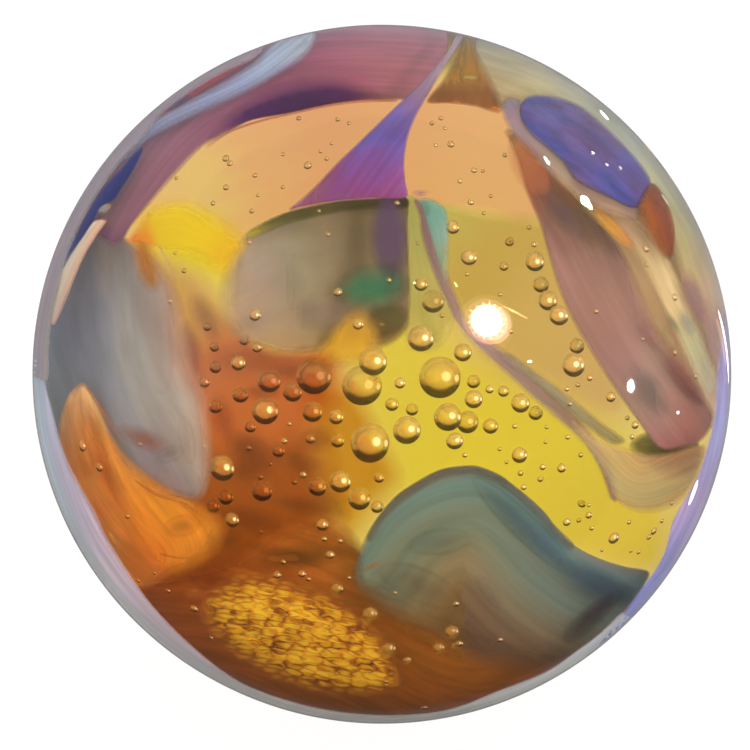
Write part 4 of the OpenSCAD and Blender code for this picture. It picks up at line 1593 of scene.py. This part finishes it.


# the hammered gold patch low on the left: its skin is rippled, and under it short bright strokes and dark dashes on a
# mottled gold glow are painted light, the lit surroundings as the ripples show them
def hammered():
    """A painted image of lit surroundings seen through the rippled skin: gold and brown scales, fading out at its edge.
    """
    m, nt = new_material("hammered_gold")
    out = add(nt, "ShaderNodeOutputMaterial")
    s, t, cover = attribute(nt, "s"), attribute(nt, "t"), attribute(nt, "cover")
    at = add(nt, "ShaderNodeCombineXYZ")
    along = maths(nt, "MULTIPLY", s.outputs["Fac"], 11.5)
    link(nt, along, at.inputs[0])
    row = maths(nt, "ADD", maths(nt, "MULTIPLY", t.outputs["Fac"], 7.4), maths(nt, "MULTIPLY", s.outputs["Fac"], 7.0))
    link(nt, row, at.inputs[1])
    patch = add(nt, "ShaderNodeTexNoise", Scale=0.55, Detail=2.0, Roughness=0.5)
    link(nt, at.outputs[0], patch.inputs["Vector"])
    bend = add(nt, "ShaderNodeTexNoise", Scale=0.9, Detail=1.0, Roughness=0.5)
    link(nt, at.outputs[0], bend.inputs["Vector"])
    moved = add(nt, "ShaderNodeVectorMath", operation="ADD")
    link(nt, at.outputs[0], moved.inputs[0])
    link(nt, bend.outputs["Color"], moved.inputs[1])
    scales = add(nt, "ShaderNodeTexVoronoi", feature="DISTANCE_TO_EDGE", Scale=1.0, Randomness=0.62)
    scales.voronoi_dimensions = "2D"
    link(nt, moved.outputs[0], scales.inputs["Vector"])
    cell = maths(nt, "MULTIPLY", scales.outputs["Distance"], 1.9)
    level = maths(nt, "ADD", cell, maths(nt, "MULTIPLY_ADD", patch.outputs["Fac"], 1.5))
    nt.nodes[-2].inputs[2].default_value = -0.42
    level = maths(nt, "MULTIPLY", level, maths(nt, "POWER", cover.outputs["Fac"], 0.6), clamp=True)
    tone = ramp(
        nt,
        inks(0.15, [(0.0, (126, 66, 30)), (0.22, (158, 88, 34)), (0.42, (206, 132, 38)), (0.65, (244, 172, 38)), (1.0, (255, 200, 52))], k=1.35),
        level,
        "EASE",
    )
    p = add(nt, "ShaderNodeBsdfDiffuse")
    link(nt, tone.outputs["Color"], p.inputs["Color"])
    see = add(nt, "ShaderNodeBsdfTransparent")
    mix = add(nt, "ShaderNodeMixShader")
    edge = maths(nt, "MULTIPLY", maths(nt, "POWER", cover.outputs["Fac"], 1.5), maths(nt, "ADD", patch.outputs["Fac"], 0.36), clamp=True)
    link(nt, edge, mix.inputs[0])
    link(nt, see.outputs[0], mix.inputs[1])
    link(nt, p.outputs[0], mix.inputs[2])
    link(nt, mix.outputs[0], out.inputs["Surface"])
    return m


swirl(
    "hammered_gold",
    [(192, 592, 40), (228, 566, 38), (272, 562, 38), (310, 576, 38), (344, 588, 38), (376, 612, 36), (400, 650, 30),
     (406, 690, 18), (366, 702, 24), (312, 700, 30), (264, 686, 36), (224, 664, 38), (192, 630, 40)],
    [(212, 606), (300, 636), (392, 674)],
    36,
    hammered(),
    depth=0.15, spacing=4,
)


def strokes(name, marks, long, wide, soft, colours, depth, opacity):
    """Many short strokes in one mesh, each given by its middle and by how much longer or shorter it is."""
    outlines, spines = [], []
    for i, (x, y, size) in enumerate(marks):
        turn = -14 - 9 * math.sin(2.3 * i)
        outlines.append(oval(x, y, long * size, wide * (0.85 + 0.3 * math.sin(1.7 * i) ** 2), turn, soft, 10))
        spines.append(through_oval(x, y, long * size, turn))
    return swirl(
        name, outlines, spines, wide,
        swirl_material(name, inks(depth, colours), streak=0.5, streak_at=(1.5, 1.5), opacity=opacity),
        depth=depth, thick=0.0001, spacing=2.0,
    )


# painted light: the bright strokes and the dark dashes of the rippled patch
strokes(
    "gold_strokes",
    [(246, 617, 1.2), (231, 626, 0.9), (256, 635, 1.2), (269, 630, 1.3), (285, 616, 1.4), (293, 605, 1.2), (271, 611, 1.0),
     (315, 613, 0.8), (318, 623, 0.8), (338, 613, 1.0), (334, 627, 1.0), (326, 637.5, 1.0), (348, 639, 1.1), (306, 640, 1.1),
     (339, 646, 1.0), (309, 653, 1.2), (327, 652, 1.0), (284, 652, 1.0), (281, 660, 1.0), (300, 663, 1.3), (308, 670, 1.3),
     (343, 663, 1.1), (351, 655, 1.0), (368, 658, 0.9), (331, 673, 1.4), (371, 674, 1.1), (347, 681, 0.9), (365, 683, 1.1),
     (323, 683.5, 0.8), (237, 595, 0.9), (262, 605, 0.8), (284, 593, 0.9), (241, 641, 1.0), (293, 632, 1.1), (253, 646, 1.1),
     (356, 668, 0.8), (229, 606, 0.8), (300, 624, 1.0), (386, 684, 0.6), (357, 647, 0.7)],
    7.6, 2.0, 1.6,
    [(0, (245, 176, 44)), (0.4, (255, 206, 60)), (0.8, (255, 194, 50)), (1, (236, 160, 44))],
    0.135, 0.6,
)
strokes(
    "brown_dashes",
    [(247, 610.5, 1.1), (256, 629, 1.2), (265, 622, 0.9), (320, 618.5, 0.9), (327, 631.5, 1.1), (337, 621.5, 1.1), (311, 634.5, 1.0),
     (340, 641, 1.1), (306, 647, 1.2), (286, 643.5, 1.3), (350, 633, 0.9), (361, 642, 0.8), (334, 648.5, 1.0), (323, 658, 1.1),
     (301, 657.5, 1.1), (351, 650.5, 1.0), (345, 657.5, 0.8), (334, 666.5, 1.1), (310, 666, 1.1), (348, 676.5, 1.2), (366, 678, 1.1),
     (325, 678, 0.9), (284, 598.5, 1.1), (275, 602, 1.0), (296, 611, 0.8), (234, 622, 1.0), (242, 634, 0.8), (274, 652, 0.8),
     (272, 624.5, 0.8), (296, 625, 1.0), (308, 625, 0.8), (291, 637, 0.8), (269, 591, 0.8), (246, 601, 0.9), (330, 611, 0.9),
     (361, 662, 0.8), (378, 668, 0.8), (264, 640, 0.9), (316, 642.5, 0.7)],
    6.6, 1.3, 1.0,
    [(0, (128, 72, 36)), (0.5, (108, 58, 36)), (1, (132, 76, 38))],
    0.128, 0.5,
)
for i, (x, y, w) in enumerate([(336, 589, 7), (371, 614, 9), (388, 650, 9), (408, 661, 4.5), (452, 632, 8), (439, 648, 7), (454, 646, 4)]):
    blot("gold_puff_%d" % i, x, y, w * 1.15, w, 20 * i, w * 0.8,
         [(0, (206, 140, 46, 0.8)), (0.5, (220, 160, 56)), (1, (196, 128, 42, 0.7))], 0.05, opacity=0.62)


# the side turned away: the same bands run on round the ball
def far_swirl(name, az, el, turn, outline, spine, half, colours, cross=None, depth=0.07, opacity=0.94, streak=0.4, at=(2.0, 6.0)):
    return swirl(
        name, outline, spine, half,
        swirl_material(
            name, inks(depth, colours), inks(depth, cross) if cross else None,
            cross_mix=0.45, streak=streak, streak_at=at, opacity=opacity, wobble=0.2,
        ),
        depth=depth, place=on_back(az, el, depth, 1.0, turn),
    )


far_swirl(
    "far_mauve", 178, 18, 0,
    [(-250, -30, 10), (-190, -90, 12), (-110, -124, 12), (-20, -118, 10), (70, -76, 8), (150, -12, 8), (226, 34, 6), (262, 74, 4),
     (214, 76, 6), (140, 46, 10), (60, 4, 12), (-20, -34, 12), (-100, -36, 12), (-180, 0, 12), (-236, 30, 8)],
    [(-246, 6), (-140, -66), (-20, -76), (90, -30), (250, 68)],
    44,
    [(0.0, (150, 128, 136)), (0.3, (150, 100, 118)), (0.55, (138, 96, 124)), (0.8, (150, 126, 134)), (1.0, (162, 152, 150))],
    [(0.0, (166, 158, 168)), (0.3, (150, 112, 126)), (0.7, (132, 92, 112)), (1.0, (120, 78, 92))],
    depth=0.09,
)
far_swirl(
    "far_blue_streak", 172, 30, -6,
    [(-200, -30, 8), (-120, -60, 8), (-30, -56, 8), (60, -24, 8), (140, 22, 6), (176, 52, 4), (130, 40, 8), (50, -4, 9),
     (-30, -32, 9), (-120, -36, 9), (-190, -10, 8)],
    [(-196, -20), (-80, -48), (40, -16), (166, 46)],
    13,
    [(0.0, (144, 142, 164)), (0.5, (152, 158, 184)), (1.0, (166, 174, 182))],
    depth=0.05, streak=0.5,
)
far_swirl(
    "far_teal", 126, -16, 20,
    [(-150, 36, 6), (-120, -20, 4), (-70, -62, 3), (-10, -70, 3), (50, -44, 3), (100, -2, 3), (150, 20, 4), (176, 46, 6),
     (130, 84, 12), (60, 106, 20), (-20, 104, 24), (-100, 78, 18)],
    [(-146, 44), (-70, -26), (0, -36), (80, 14), (170, 44)],
    90,
    [(0.0, (124, 114, 80)), (0.3, (104, 112, 94)), (0.6, (92, 110, 104)), (1.0, (80, 94, 106))],
    [(0.3, (110, 100, 88)), (0.42, (92, 112, 106)), (0.6, (108, 116, 94)), (0.8, (128, 112, 76)), (1.0, (116, 78, 44))],
    depth=0.12, streak=0.35,
)
far_swirl(
    "far_lobe", 238, -30, -28,
    [(-150, -70, 5), (-90, -96, 8), (-20, -88, 16), (50, -56, 26), (116, -16, 34), (150, 34, 36), (120, 84, 34), (50, 92, 26),
     (-20, 62, 14), (-80, 12, 5), (-130, -30, 4)],
    [(-142, -66), (-60, -30), (30, 20), (120, 50)],
    66,
    [(0.0, (200, 158, 136)), (0.2, (198, 140, 104)), (0.5, (192, 106, 54)), (1.0, (186, 108, 44))],
    [(0.0, (208, 136, 56)), (0.5, (190, 104, 48)), (1.0, (190, 126, 86))],
    depth=0.1,
)
far_swirl(
    "far_grey", 222, 26, 24,
    [(-170, -6, 20), (-130, -52, 16), (-60, -76, 14), (20, -70, 12), (84, -40, 10), (140, 0, 8), (190, 40, 5), (206, 66, 4),
     (160, 64, 12), (104, 52, 26), (40, 56, 34), (-40, 66, 34), (-120, 44, 28)],
    [(-164, -2), (-60, -22), (60, -6), (198, 58)],
    64,
    [(0.0, (126, 122, 132)), (0.35, (158, 148, 136)), (0.7, (172, 150, 128)), (1.0, (184, 150, 116))],
    [(0.0, (122, 130, 140)), (0.4, (162, 150, 134)), (0.8, (178, 150, 122)), (1.0, (150, 122, 112))],
    depth=0.13, streak=0.3, at=(2.0, 3.0),
)
far_swirl(
    "far_indigo", 146, 44, -30,
    [(-92, 2, 3), (-50, -13, 3), (0, -16, 3), (50, -11, 3), (92, 4, 3), (50, 13, 4), (0, 14, 4), (-50, 9, 3)],
    [(-90, 2), (0, 0), (90, 3)],
    15,
    [(0.0, (70, 48, 118)), (0.5, (64, 44, 122)), (1.0, (94, 78, 124))],
    depth=0.05,
)
far_swirl(
    "far_ribbon", 146, 18, 64,
    [(-130, -16, 6), (-60, -34, 5), (20, -36, 5), (90, -22, 5), (140, -2, 5), (120, 22, 10), (50, 30, 12), (-30, 24, 10), (-100, 8, 8)],
    [(-126, -6), (0, -6), (132, 4)],
    32,
    [(0.0, (196, 134, 76)), (0.25, (136, 98, 86)), (0.6, (152, 122, 118)), (1.0, (146, 122, 104))],
    [(0.0, (124, 106, 78)), (0.5, (154, 122, 114)), (1.0, (150, 112, 100))],
    depth=0.1,
)
far_swirl(
    "far_violet", 198, 52, 100,
    [(-110, -6, 3), (-50, -20, 3), (10, -34, 4), (60, -40, 4), (92, -30, 5), (80, 0, 8), (88, 30, 5), (50, 34, 4), (-10, 16, 4), (-60, 2, 3)],
    [(-106, -4), (0, -6), (84, 0)],
    34,
    [(0.0, (160, 148, 146)), (0.35, (140, 112, 140)), (0.7, (112, 92, 176)), (1.0, (130, 66, 146))],
    depth=0.06,
)
far_swirl(
    "far_umber", 170, -76, 0,
    [(-150, -10, 26), (-90, -76, 28), (10, -96, 28), (110, -66, 28), (150, 0, 26), (96, 70, 26), (0, 92, 26), (-100, 62, 26)],
    [(-140, 0), (0, -10), (140, 4)],
    90,
    [(0.0, (130, 72, 30)), (0.5, (122, 66, 22)), (1.0, (124, 70, 30))],
    [(0.0, (134, 84, 34)), (0.5, (124, 68, 24)), (1.0, (108, 56, 20))],
    depth=0.16, streak=0.5, at=(5.0, 6.0),
)
far_swirl(
    "far_crescent", 118, -34, -58,
    [(-150, 8, 3), (-90, -8, 3), (0, -16, 3), (90, -8, 3), (150, 10, 3), (90, 14, 4), (0, 14, 4), (-90, 14, 4)],
    [(-146, 8), (0, -1), (146, 9)],
    15,
    [(0.0, (168, 158, 172)), (0.5, (160, 164, 192)), (1.0, (178, 162, 178))],
    depth=0.04, streak=0.5,
)
far_swirl(
    "far_sage", 244, 0, 70,
    [(-210, 16, 4), (-150, -18, 6), (-80, -34, 10), (0, -34, 12), (80, -22, 12), (150, -6, 10), (206, 22, 6),
     (140, 30, 14), (70, 30, 16), (0, 26, 14), (-80, 12, 9), (-150, 10, 6)],
    [(-204, 14), (-90, -10), (60, 2), (198, 20)],
    28,
    [(0.0, (160, 172, 170)), (0.25, (168, 170, 152)), (0.6, (176, 168, 118)), (0.85, (190, 156, 104)), (1.0, (196, 140, 84))],
    [(0.0, (150, 164, 168)), (0.5, (176, 166, 126)), (1.0, (182, 146, 104))],
    depth=0.08,
)
far_swirl(
    "far_wing", 126, 4, 50,
    [(-212, 10, 5), (-150, -26, 6), (-80, -44, 10), (0, -42, 16), (80, -28, 20), (150, -10, 14), (212, 24, 6), (140, 36, 10),
     (70, 34, 14), (0, 38, 14), (-80, 26, 9), (-150, 18, 6)],
    [(-206, 10), (-80, -8), (60, 4), (204, 22)],
    34,
    [(0.0, (146, 150, 180)), (0.3, (168, 144, 158)), (0.6, (186, 142, 130)), (1.0, (210, 160, 112))],
    [(0.0, (196, 160, 150)), (0.4, (162, 130, 146)), (0.8, (140, 110, 132)), (1.0, (150, 140, 160))],
    depth=0.085, streak=0.45,
)
far_swirl(
    "far_foot", 116, -58, 8,
    [(-180, 10, 24), (-120, -38, 26), (-30, -54, 28), (60, -48, 28), (140, -26, 28), (186, 16, 26), (120, 50, 28), (20, 62, 28),
     (-80, 56, 28), (-150, 38, 26)],
    [(-170, 6), (0, 0), (176, 10)],
    58,
    [(0.0, (118, 64, 22)), (0.4, (136, 74, 26)), (0.7, (170, 102, 38)), (1.0, (128, 72, 28))],
    [(0.0, (164, 96, 40)), (0.4, (128, 70, 26)), (1.0, (104, 56, 20))],
    depth=0.15, streak=0.5, at=(5.0, 6.0),
)
far_swirl(
    "far_rose", 152, 30, -32,
    [(-150, -20, 30), (-90, -62, 34), (0, -74, 36), (90, -50, 36), (150, -4, 30), (100, 46, 34), (10, 66, 36), (-90, 48, 34)],
    [(-140, -6), (0, -4), (142, 0)],
    64,
    [(0.0, (224, 166, 116)), (0.5, (214, 142, 114)), (1.0, (196, 128, 122))],
    [(0.0, (222, 178, 104)), (0.5, (212, 146, 110)), (1.0, (186, 110, 108))],
    depth=0.24, opacity=0.62, streak=0.2,
)
far_swirl(
    "far_glow", 106, -30, 12,
    [(-96, -10, 22), (-40, -50, 24), (40, -52, 26), (100, -14, 26), (80, 36, 26), (10, 54, 26), (-64, 34, 24)],
    [(-90, -4), (0, 0), (94, 2)],
    48,
    [(0.0, (206, 128, 54)), (0.5, (188, 104, 48)), (1.0, (160, 84, 40))],
    depth=0.22, opacity=0.7, streak=0.3,
)
# SWIRLS END

# ---------------------------------------------------------------- stage

def make_floor():
    bm = bmesh.new()
    bmesh.ops.create_circle(bm, cap_ends=True, segments=96, radius=0.9)
    me = bpy.data.meshes.new("floor")
    bm.to_mesh(me)
    bm.free()
    ob = bpy.data.objects.new("floor", me)
    ob.location = (0, 0, float(CENTRE[2] - R))
    scene.collection.objects.link(ob)
    m, nt = new_material("pale_floor")
    out = add(nt, "ShaderNodeOutputMaterial")
    p = add(nt, "ShaderNodeBsdfDiffuse")
    p.inputs["Color"].default_value = (0.9, 0.9, 0.9, 1)
    # through the glass the floor reads as pale cloth with a painted shadow of the ball on it, dark out to about a
    # radius from where the ball stands
    co = add(nt, "ShaderNodeTexCoord")
    far = add(nt, "ShaderNodeVectorMath", operation="LENGTH")
    link(nt, co.outputs["Object"], far.inputs[0])
    near = maths(nt, "DIVIDE", far.outputs["Value"], 3 * R)
    painted_shadow_ramp = ramp(
        nt,
        [(0.0, (0.03, 0.02, 0.015, 1)), (0.30, (0.05, 0.035, 0.025, 1)), (0.40, (0.35, 0.33, 0.30, 1)),
         (0.47, (1.0, 1.0, 1.0, 1)), (1.0, (1.0, 1.0, 1.0, 1))],
        near,
        "EASE",
    )
    seen = add(nt, "ShaderNodeEmission", Strength=1.0)
    link(nt, painted_shadow_ramp.outputs[0], seen.inputs["Color"])
    plain = add(nt, "ShaderNodeEmission", Strength=1.0)
    plain.inputs["Color"].default_value = (1, 1, 1, 1)
    path = add(nt, "ShaderNodeLightPath")
    pale = add(nt, "ShaderNodeMixShader")
    pale.inputs[0].default_value = 0.94
    link(nt, p.outputs[0], pale.inputs[1])
    link(nt, plain.outputs[0], pale.inputs[2])
    inner = add(nt, "ShaderNodeMixShader")
    link(nt, path.outputs["Is Transmission Ray"], inner.inputs[0])
    link(nt, plain.outputs[0], inner.inputs[1])
    link(nt, seen.outputs[0], inner.inputs[2])
    mix = add(nt, "ShaderNodeMixShader")
    link(nt, path.outputs["Is Camera Ray"], mix.inputs[0])
    link(nt, inner.outputs[0], mix.inputs[1])
    link(nt, pale.outputs[0], mix.inputs[2])
    link(nt, mix.outputs[0], out.inputs["Surface"])
    me.materials.append(m)
    ob.visible_glossy = False
    return ob


make_floor()


def make_world():
    w = bpy.data.worlds.new("studio")
    scene.world = w
    w.use_nodes = True
    nt = w.node_tree
    nt.nodes.clear()
    out = add(nt, "ShaderNodeOutputWorld")
    co = add(nt, "ShaderNodeTexCoord")
    sep = add(nt, "ShaderNodeSeparateXYZ")
    link(nt, co.outputs["Generated"], sep.inputs[0])
    up = maths(nt, "ARCSINE", sep.outputs["Z"])
    up = maths(nt, "DIVIDE", up, math.pi / 2)
    up = maths(nt, "MULTIPLY_ADD", up, 0.5)
    nt.nodes[-1].inputs[2].default_value = 0.5

    def at(deg):
        return 0.5 + deg / 180

    sky = ramp(
        nt,
        [
            (at(-90), (0.95, 0.95, 0.95, 1)),
            (at(0), (0.98, 0.97, 0.97, 1)),
            (at(40), (1.0, 0.99, 1.0, 1)),
            (at(90), (1.0, 1.0, 1.05, 1)),
        ],
        up,
        "EASE",
    )
    studio = add(nt, "ShaderNodeBackground", Strength=1.0)
    link(nt, sky.outputs[0], studio.inputs["Color"])
    glare = ramp(
        nt,
        [
            (at(-90), (0.045, 0.035, 0.028, 1)),
            (at(-30), (0.07, 0.06, 0.06, 1)),
            (at(0), (0.13, 0.125, 0.14, 1)),
            (at(40), (0.21, 0.21, 0.25, 1)),
            (at(90), (0.25, 0.25, 0.29, 1)),
        ],
        up,
        "EASE",
    )
    behind = maths(nt, "MULTIPLY_ADD", sep.outputs["Y"], 1 / 0.5)
    nt.nodes[-1].inputs[2].default_value = -0.35 / 0.5
    behind = maths(nt, "MINIMUM", maths(nt, "MAXIMUM", behind, 0.0), 1.0)
    both = add(nt, "ShaderNodeMix", data_type="RGBA", blend_type="MIX")
    link(nt, behind, both.inputs["Factor"])
    link(nt, glare.outputs[0], both.inputs["A"])
    both.inputs["B"].default_value = (0.28, 0.28, 0.32, 1)
    shine = add(nt, "ShaderNodeBackground", Strength=1.0)
    link(nt, both.outputs["Result"], shine.inputs["Color"])
    soft = add(nt, "ShaderNodeBackground", Strength=2.0)
    soft.inputs["Color"].default_value = (1, 1, 1, 1)
    white = add(nt, "ShaderNodeBackground", Strength=1.0)
    white.inputs["Color"].default_value = (1, 1, 1, 1)
    path = add(nt, "ShaderNodeLightPath")
    first = add(nt, "ShaderNodeMixShader")
    link(nt, path.outputs["Is Transmission Ray"], first.inputs[0])
    link(nt, shine.outputs[0], first.inputs[1])
    link(nt, studio.outputs[0], first.inputs[2])
    second = add(nt, "ShaderNodeMixShader")
    link(nt, maths(nt, "GREATER_THAN", path.outputs["Diffuse Depth"], 0.5), second.inputs[0])
    link(nt, first.outputs[0], second.inputs[1])
    link(nt, soft.outputs[0], second.inputs[2])
    mix = add(nt, "ShaderNodeMixShader")
    link(nt, path.outputs["Is Camera Ray"], mix.inputs[0])
    link(nt, second.outputs[0], mix.inputs[1])
    link(nt, white.outputs[0], mix.inputs[2])
    link(nt, mix.outputs[0], out.inputs["Surface"])


make_world()


def lamp(name, kind, at, energy, size=0.05, colour=(1, 1, 1)):
    d = bpy.data.lights.new(name, kind)
    d.energy = energy
    d.color = colour
    if kind == "AREA":
        d.shape = "DISK"
        d.size = size
    o = bpy.data.objects.new(name, d)
    o.location = at
    o.rotation_mode = "QUATERNION"
    o.rotation_quaternion = (-(Vector(at) - Vector(CENTRE))).to_track_quat("-Z", "Y")
    scene.collection.objects.link(o)
    return o


def glint(x, y):
    """The direction a lamp stands in for its highlight to lie at a mark on the face."""
    q = face_points([[x, y]], 0.0)[0][0] - CENTRE
    n = unit(q)
    v = unit(R * EYE * turned([0, 0, 1]) - q)
    return unit(2 * np.dot(n, v) * n - v), float(np.dot(n, v))


def gleam(name, x, y, long, wide, turn, colour=(1, 1, 1), power=1.0, away=0.5):
    """A lamp whose highlight is long by wide marks on the face, slanted by turn degrees."""
    t = math.radians(turn)
    dx, dy = math.cos(t) / 2, -math.sin(t) / 2
    to, facing = glint(x, y)
    along = glint(x + long * dx, y + long * dy)[0] - glint(x - long * dx, y - long * dy)[0]
    over = glint(x - wide * dy, y + wide * dx)[0] - glint(x + wide * dy, y - wide * dx)[0]
    size_x, size_y = float(np.linalg.norm(along)) * away, float(np.linalg.norm(over)) * away
    mirror = 0.04 + 0.96 * (1 - facing) ** 5
    energy = power * 1.6 / mirror * math.pi * math.pi / 4 * size_x * size_y
    o = lamp(name, "AREA", tuple(CENTRE + to * away), energy, 0.05, colour)
    o.data.shape = "ELLIPSE"
    o.data.size = size_x
    o.data.size_y = size_y
    z = unit(to)
    x_axis = unit(along - np.dot(along, z) * z)
    y_axis = np.cross(z, x_axis)
    o.rotation_quaternion = Matrix((x_axis, y_axis, z)).transposed().to_quaternion()
    return o


# the small key lamp stands high on the right of the display side, in a rosy hood
gleam("key", 485.5, 322, 31, 31, 0, (1.0, 0.99, 0.98))
for i, (x, y, wide, colour, power) in enumerate([
    (488.5, 323.5, 38, (1.0, 0.5, 0.8), 0.13), (489, 325, 43, (1.0, 0.42, 0.8), 0.08), (487, 323, 48, (1.0, 0.5, 0.7), 0.035),
    (486.5, 320, 52, (1.0, 0.6, 0.45), 0.014), (484, 326, 58, (0.8, 0.75, 1.0), 0.010),
]):
    gleam("key_glow_%d" % i, x, y, wide, wide * 0.95, 0, colour, power, 0.52 + 0.01 * i)
gleam("key_streak", 514, 313.5, 28, 2.0, -27, (1.0, 0.56, 0.42), 0.17, 0.51)
gleam("key_streak_hot", 512, 312.5, 12, 1.6, -27, (1.0, 0.8, 0.72), 0.12, 0.505)
for i, (turn, long) in enumerate([(5, 40), (24, 37), (42, 39), (63, 37.5), (81, 41), (102, 38), (124, 37.5), (147, 40), (168, 37.5)]):
    gleam("key_ray_%d" % i, 486, 322, long, 2.6, turn, (1.0, 0.88, 0.84), 0.3, 0.49)
for i, (x, y, long, wide, turn, colour, power) in enumerate([
    (604, 116, 11, 3.2, -40, (1, 0.9, 0.8), 0.9), (545, 162, 10, 2.2, -60, (1, 0.88, 0.8), 0.7),
    (583.5, 202.5, 12, 8, -48, (1, 0.98, 0.94), 1.0), (587, 206.5, 12, 4.4, -50, (1, 0.98, 0.94), 0.8), (592, 154, 2.6, 1.4, 0, (1, 1, 1), 0.7),
    (606, 166, 2.4, 1.3, 0, (1, 1, 1), 0.6), (620, 169, 2.4, 1.4, 0, (1, 0.9, 1), 0.25),
    (665, 201, 9, 2.0, -65, (0.9, 0.85, 0.7), 0.2), (629.5, 385, 12.5, 7.2, 78, (1, 0.96, 1), 1.0), (630, 385, 16, 11, 78, (0.85, 0.6, 1), 0.05),
    (677, 412, 3, 3, 0, (0.92, 0.85, 1), 0.8), (693, 492, 19, 3.4, 63, (1, 0.96, 1), 0.8),
    (528, 361, 5, 3, 0, (1, 0.8, 0.9), 0.5), (414, 284, 2.4, 2.4, 0, (1, 1, 1), 0.6),
    (455, 286, 2.2, 5, 20, (1, 0.95, 0.8), 0.35),
    (725, 341, 19, 6, 94, (1, 0.97, 0.96), 1.0), (721.5, 340, 22, 7, 94, (1.0, 0.5, 0.45), 0.12),
]):
    gleam("glint_%d" % i, x, y, long, wide, turn, colour, power)

cam_data = bpy.data.cameras.new("camera")
cam = bpy.data.objects.new("camera", cam_data)
scene.collection.objects.link(cam)
scene.camera = cam
back = turned([0, 0, 1])
cam.location = CENTRE + R * EYE * back
cam.rotation_mode = "QUATERNION"
cam.rotation_quaternion = Vector(-back).to_track_quat("-Z", "Y")
cam_data.sensor_width = 36.0
cam_data.lens = 18.0 / (GRAZE * 375.0 / FACE_R)
cam_data.shift_x = (375.0 - FACE_C[0]) / 750.0
cam_data.shift_y = -(375.0 - FACE_C[1]) / 750.0
cam_data.clip_start, cam_data.clip_end = 0.001, 10.0

scene.view_settings.view_transform = "Standard"
scene.view_settings.look = "None"
cy = scene.cycles
cy.use_denoising = True
cy.denoiser = "OPENIMAGEDENOISE"
cy.seed = 3
cy.max_bounces = 13
cy.transmission_bounces = 11
cy.glossy_bounces = 6
cy.diffuse_bounces = 3
cy.transparent_max_bounces = 48
cy.sample_clamp_indirect = 6.0
cy.sample_clamp_direct = 0.0
cy.caustics_reflective = True
cy.caustics_refractive = True
cy.blur_glossy = 0.3
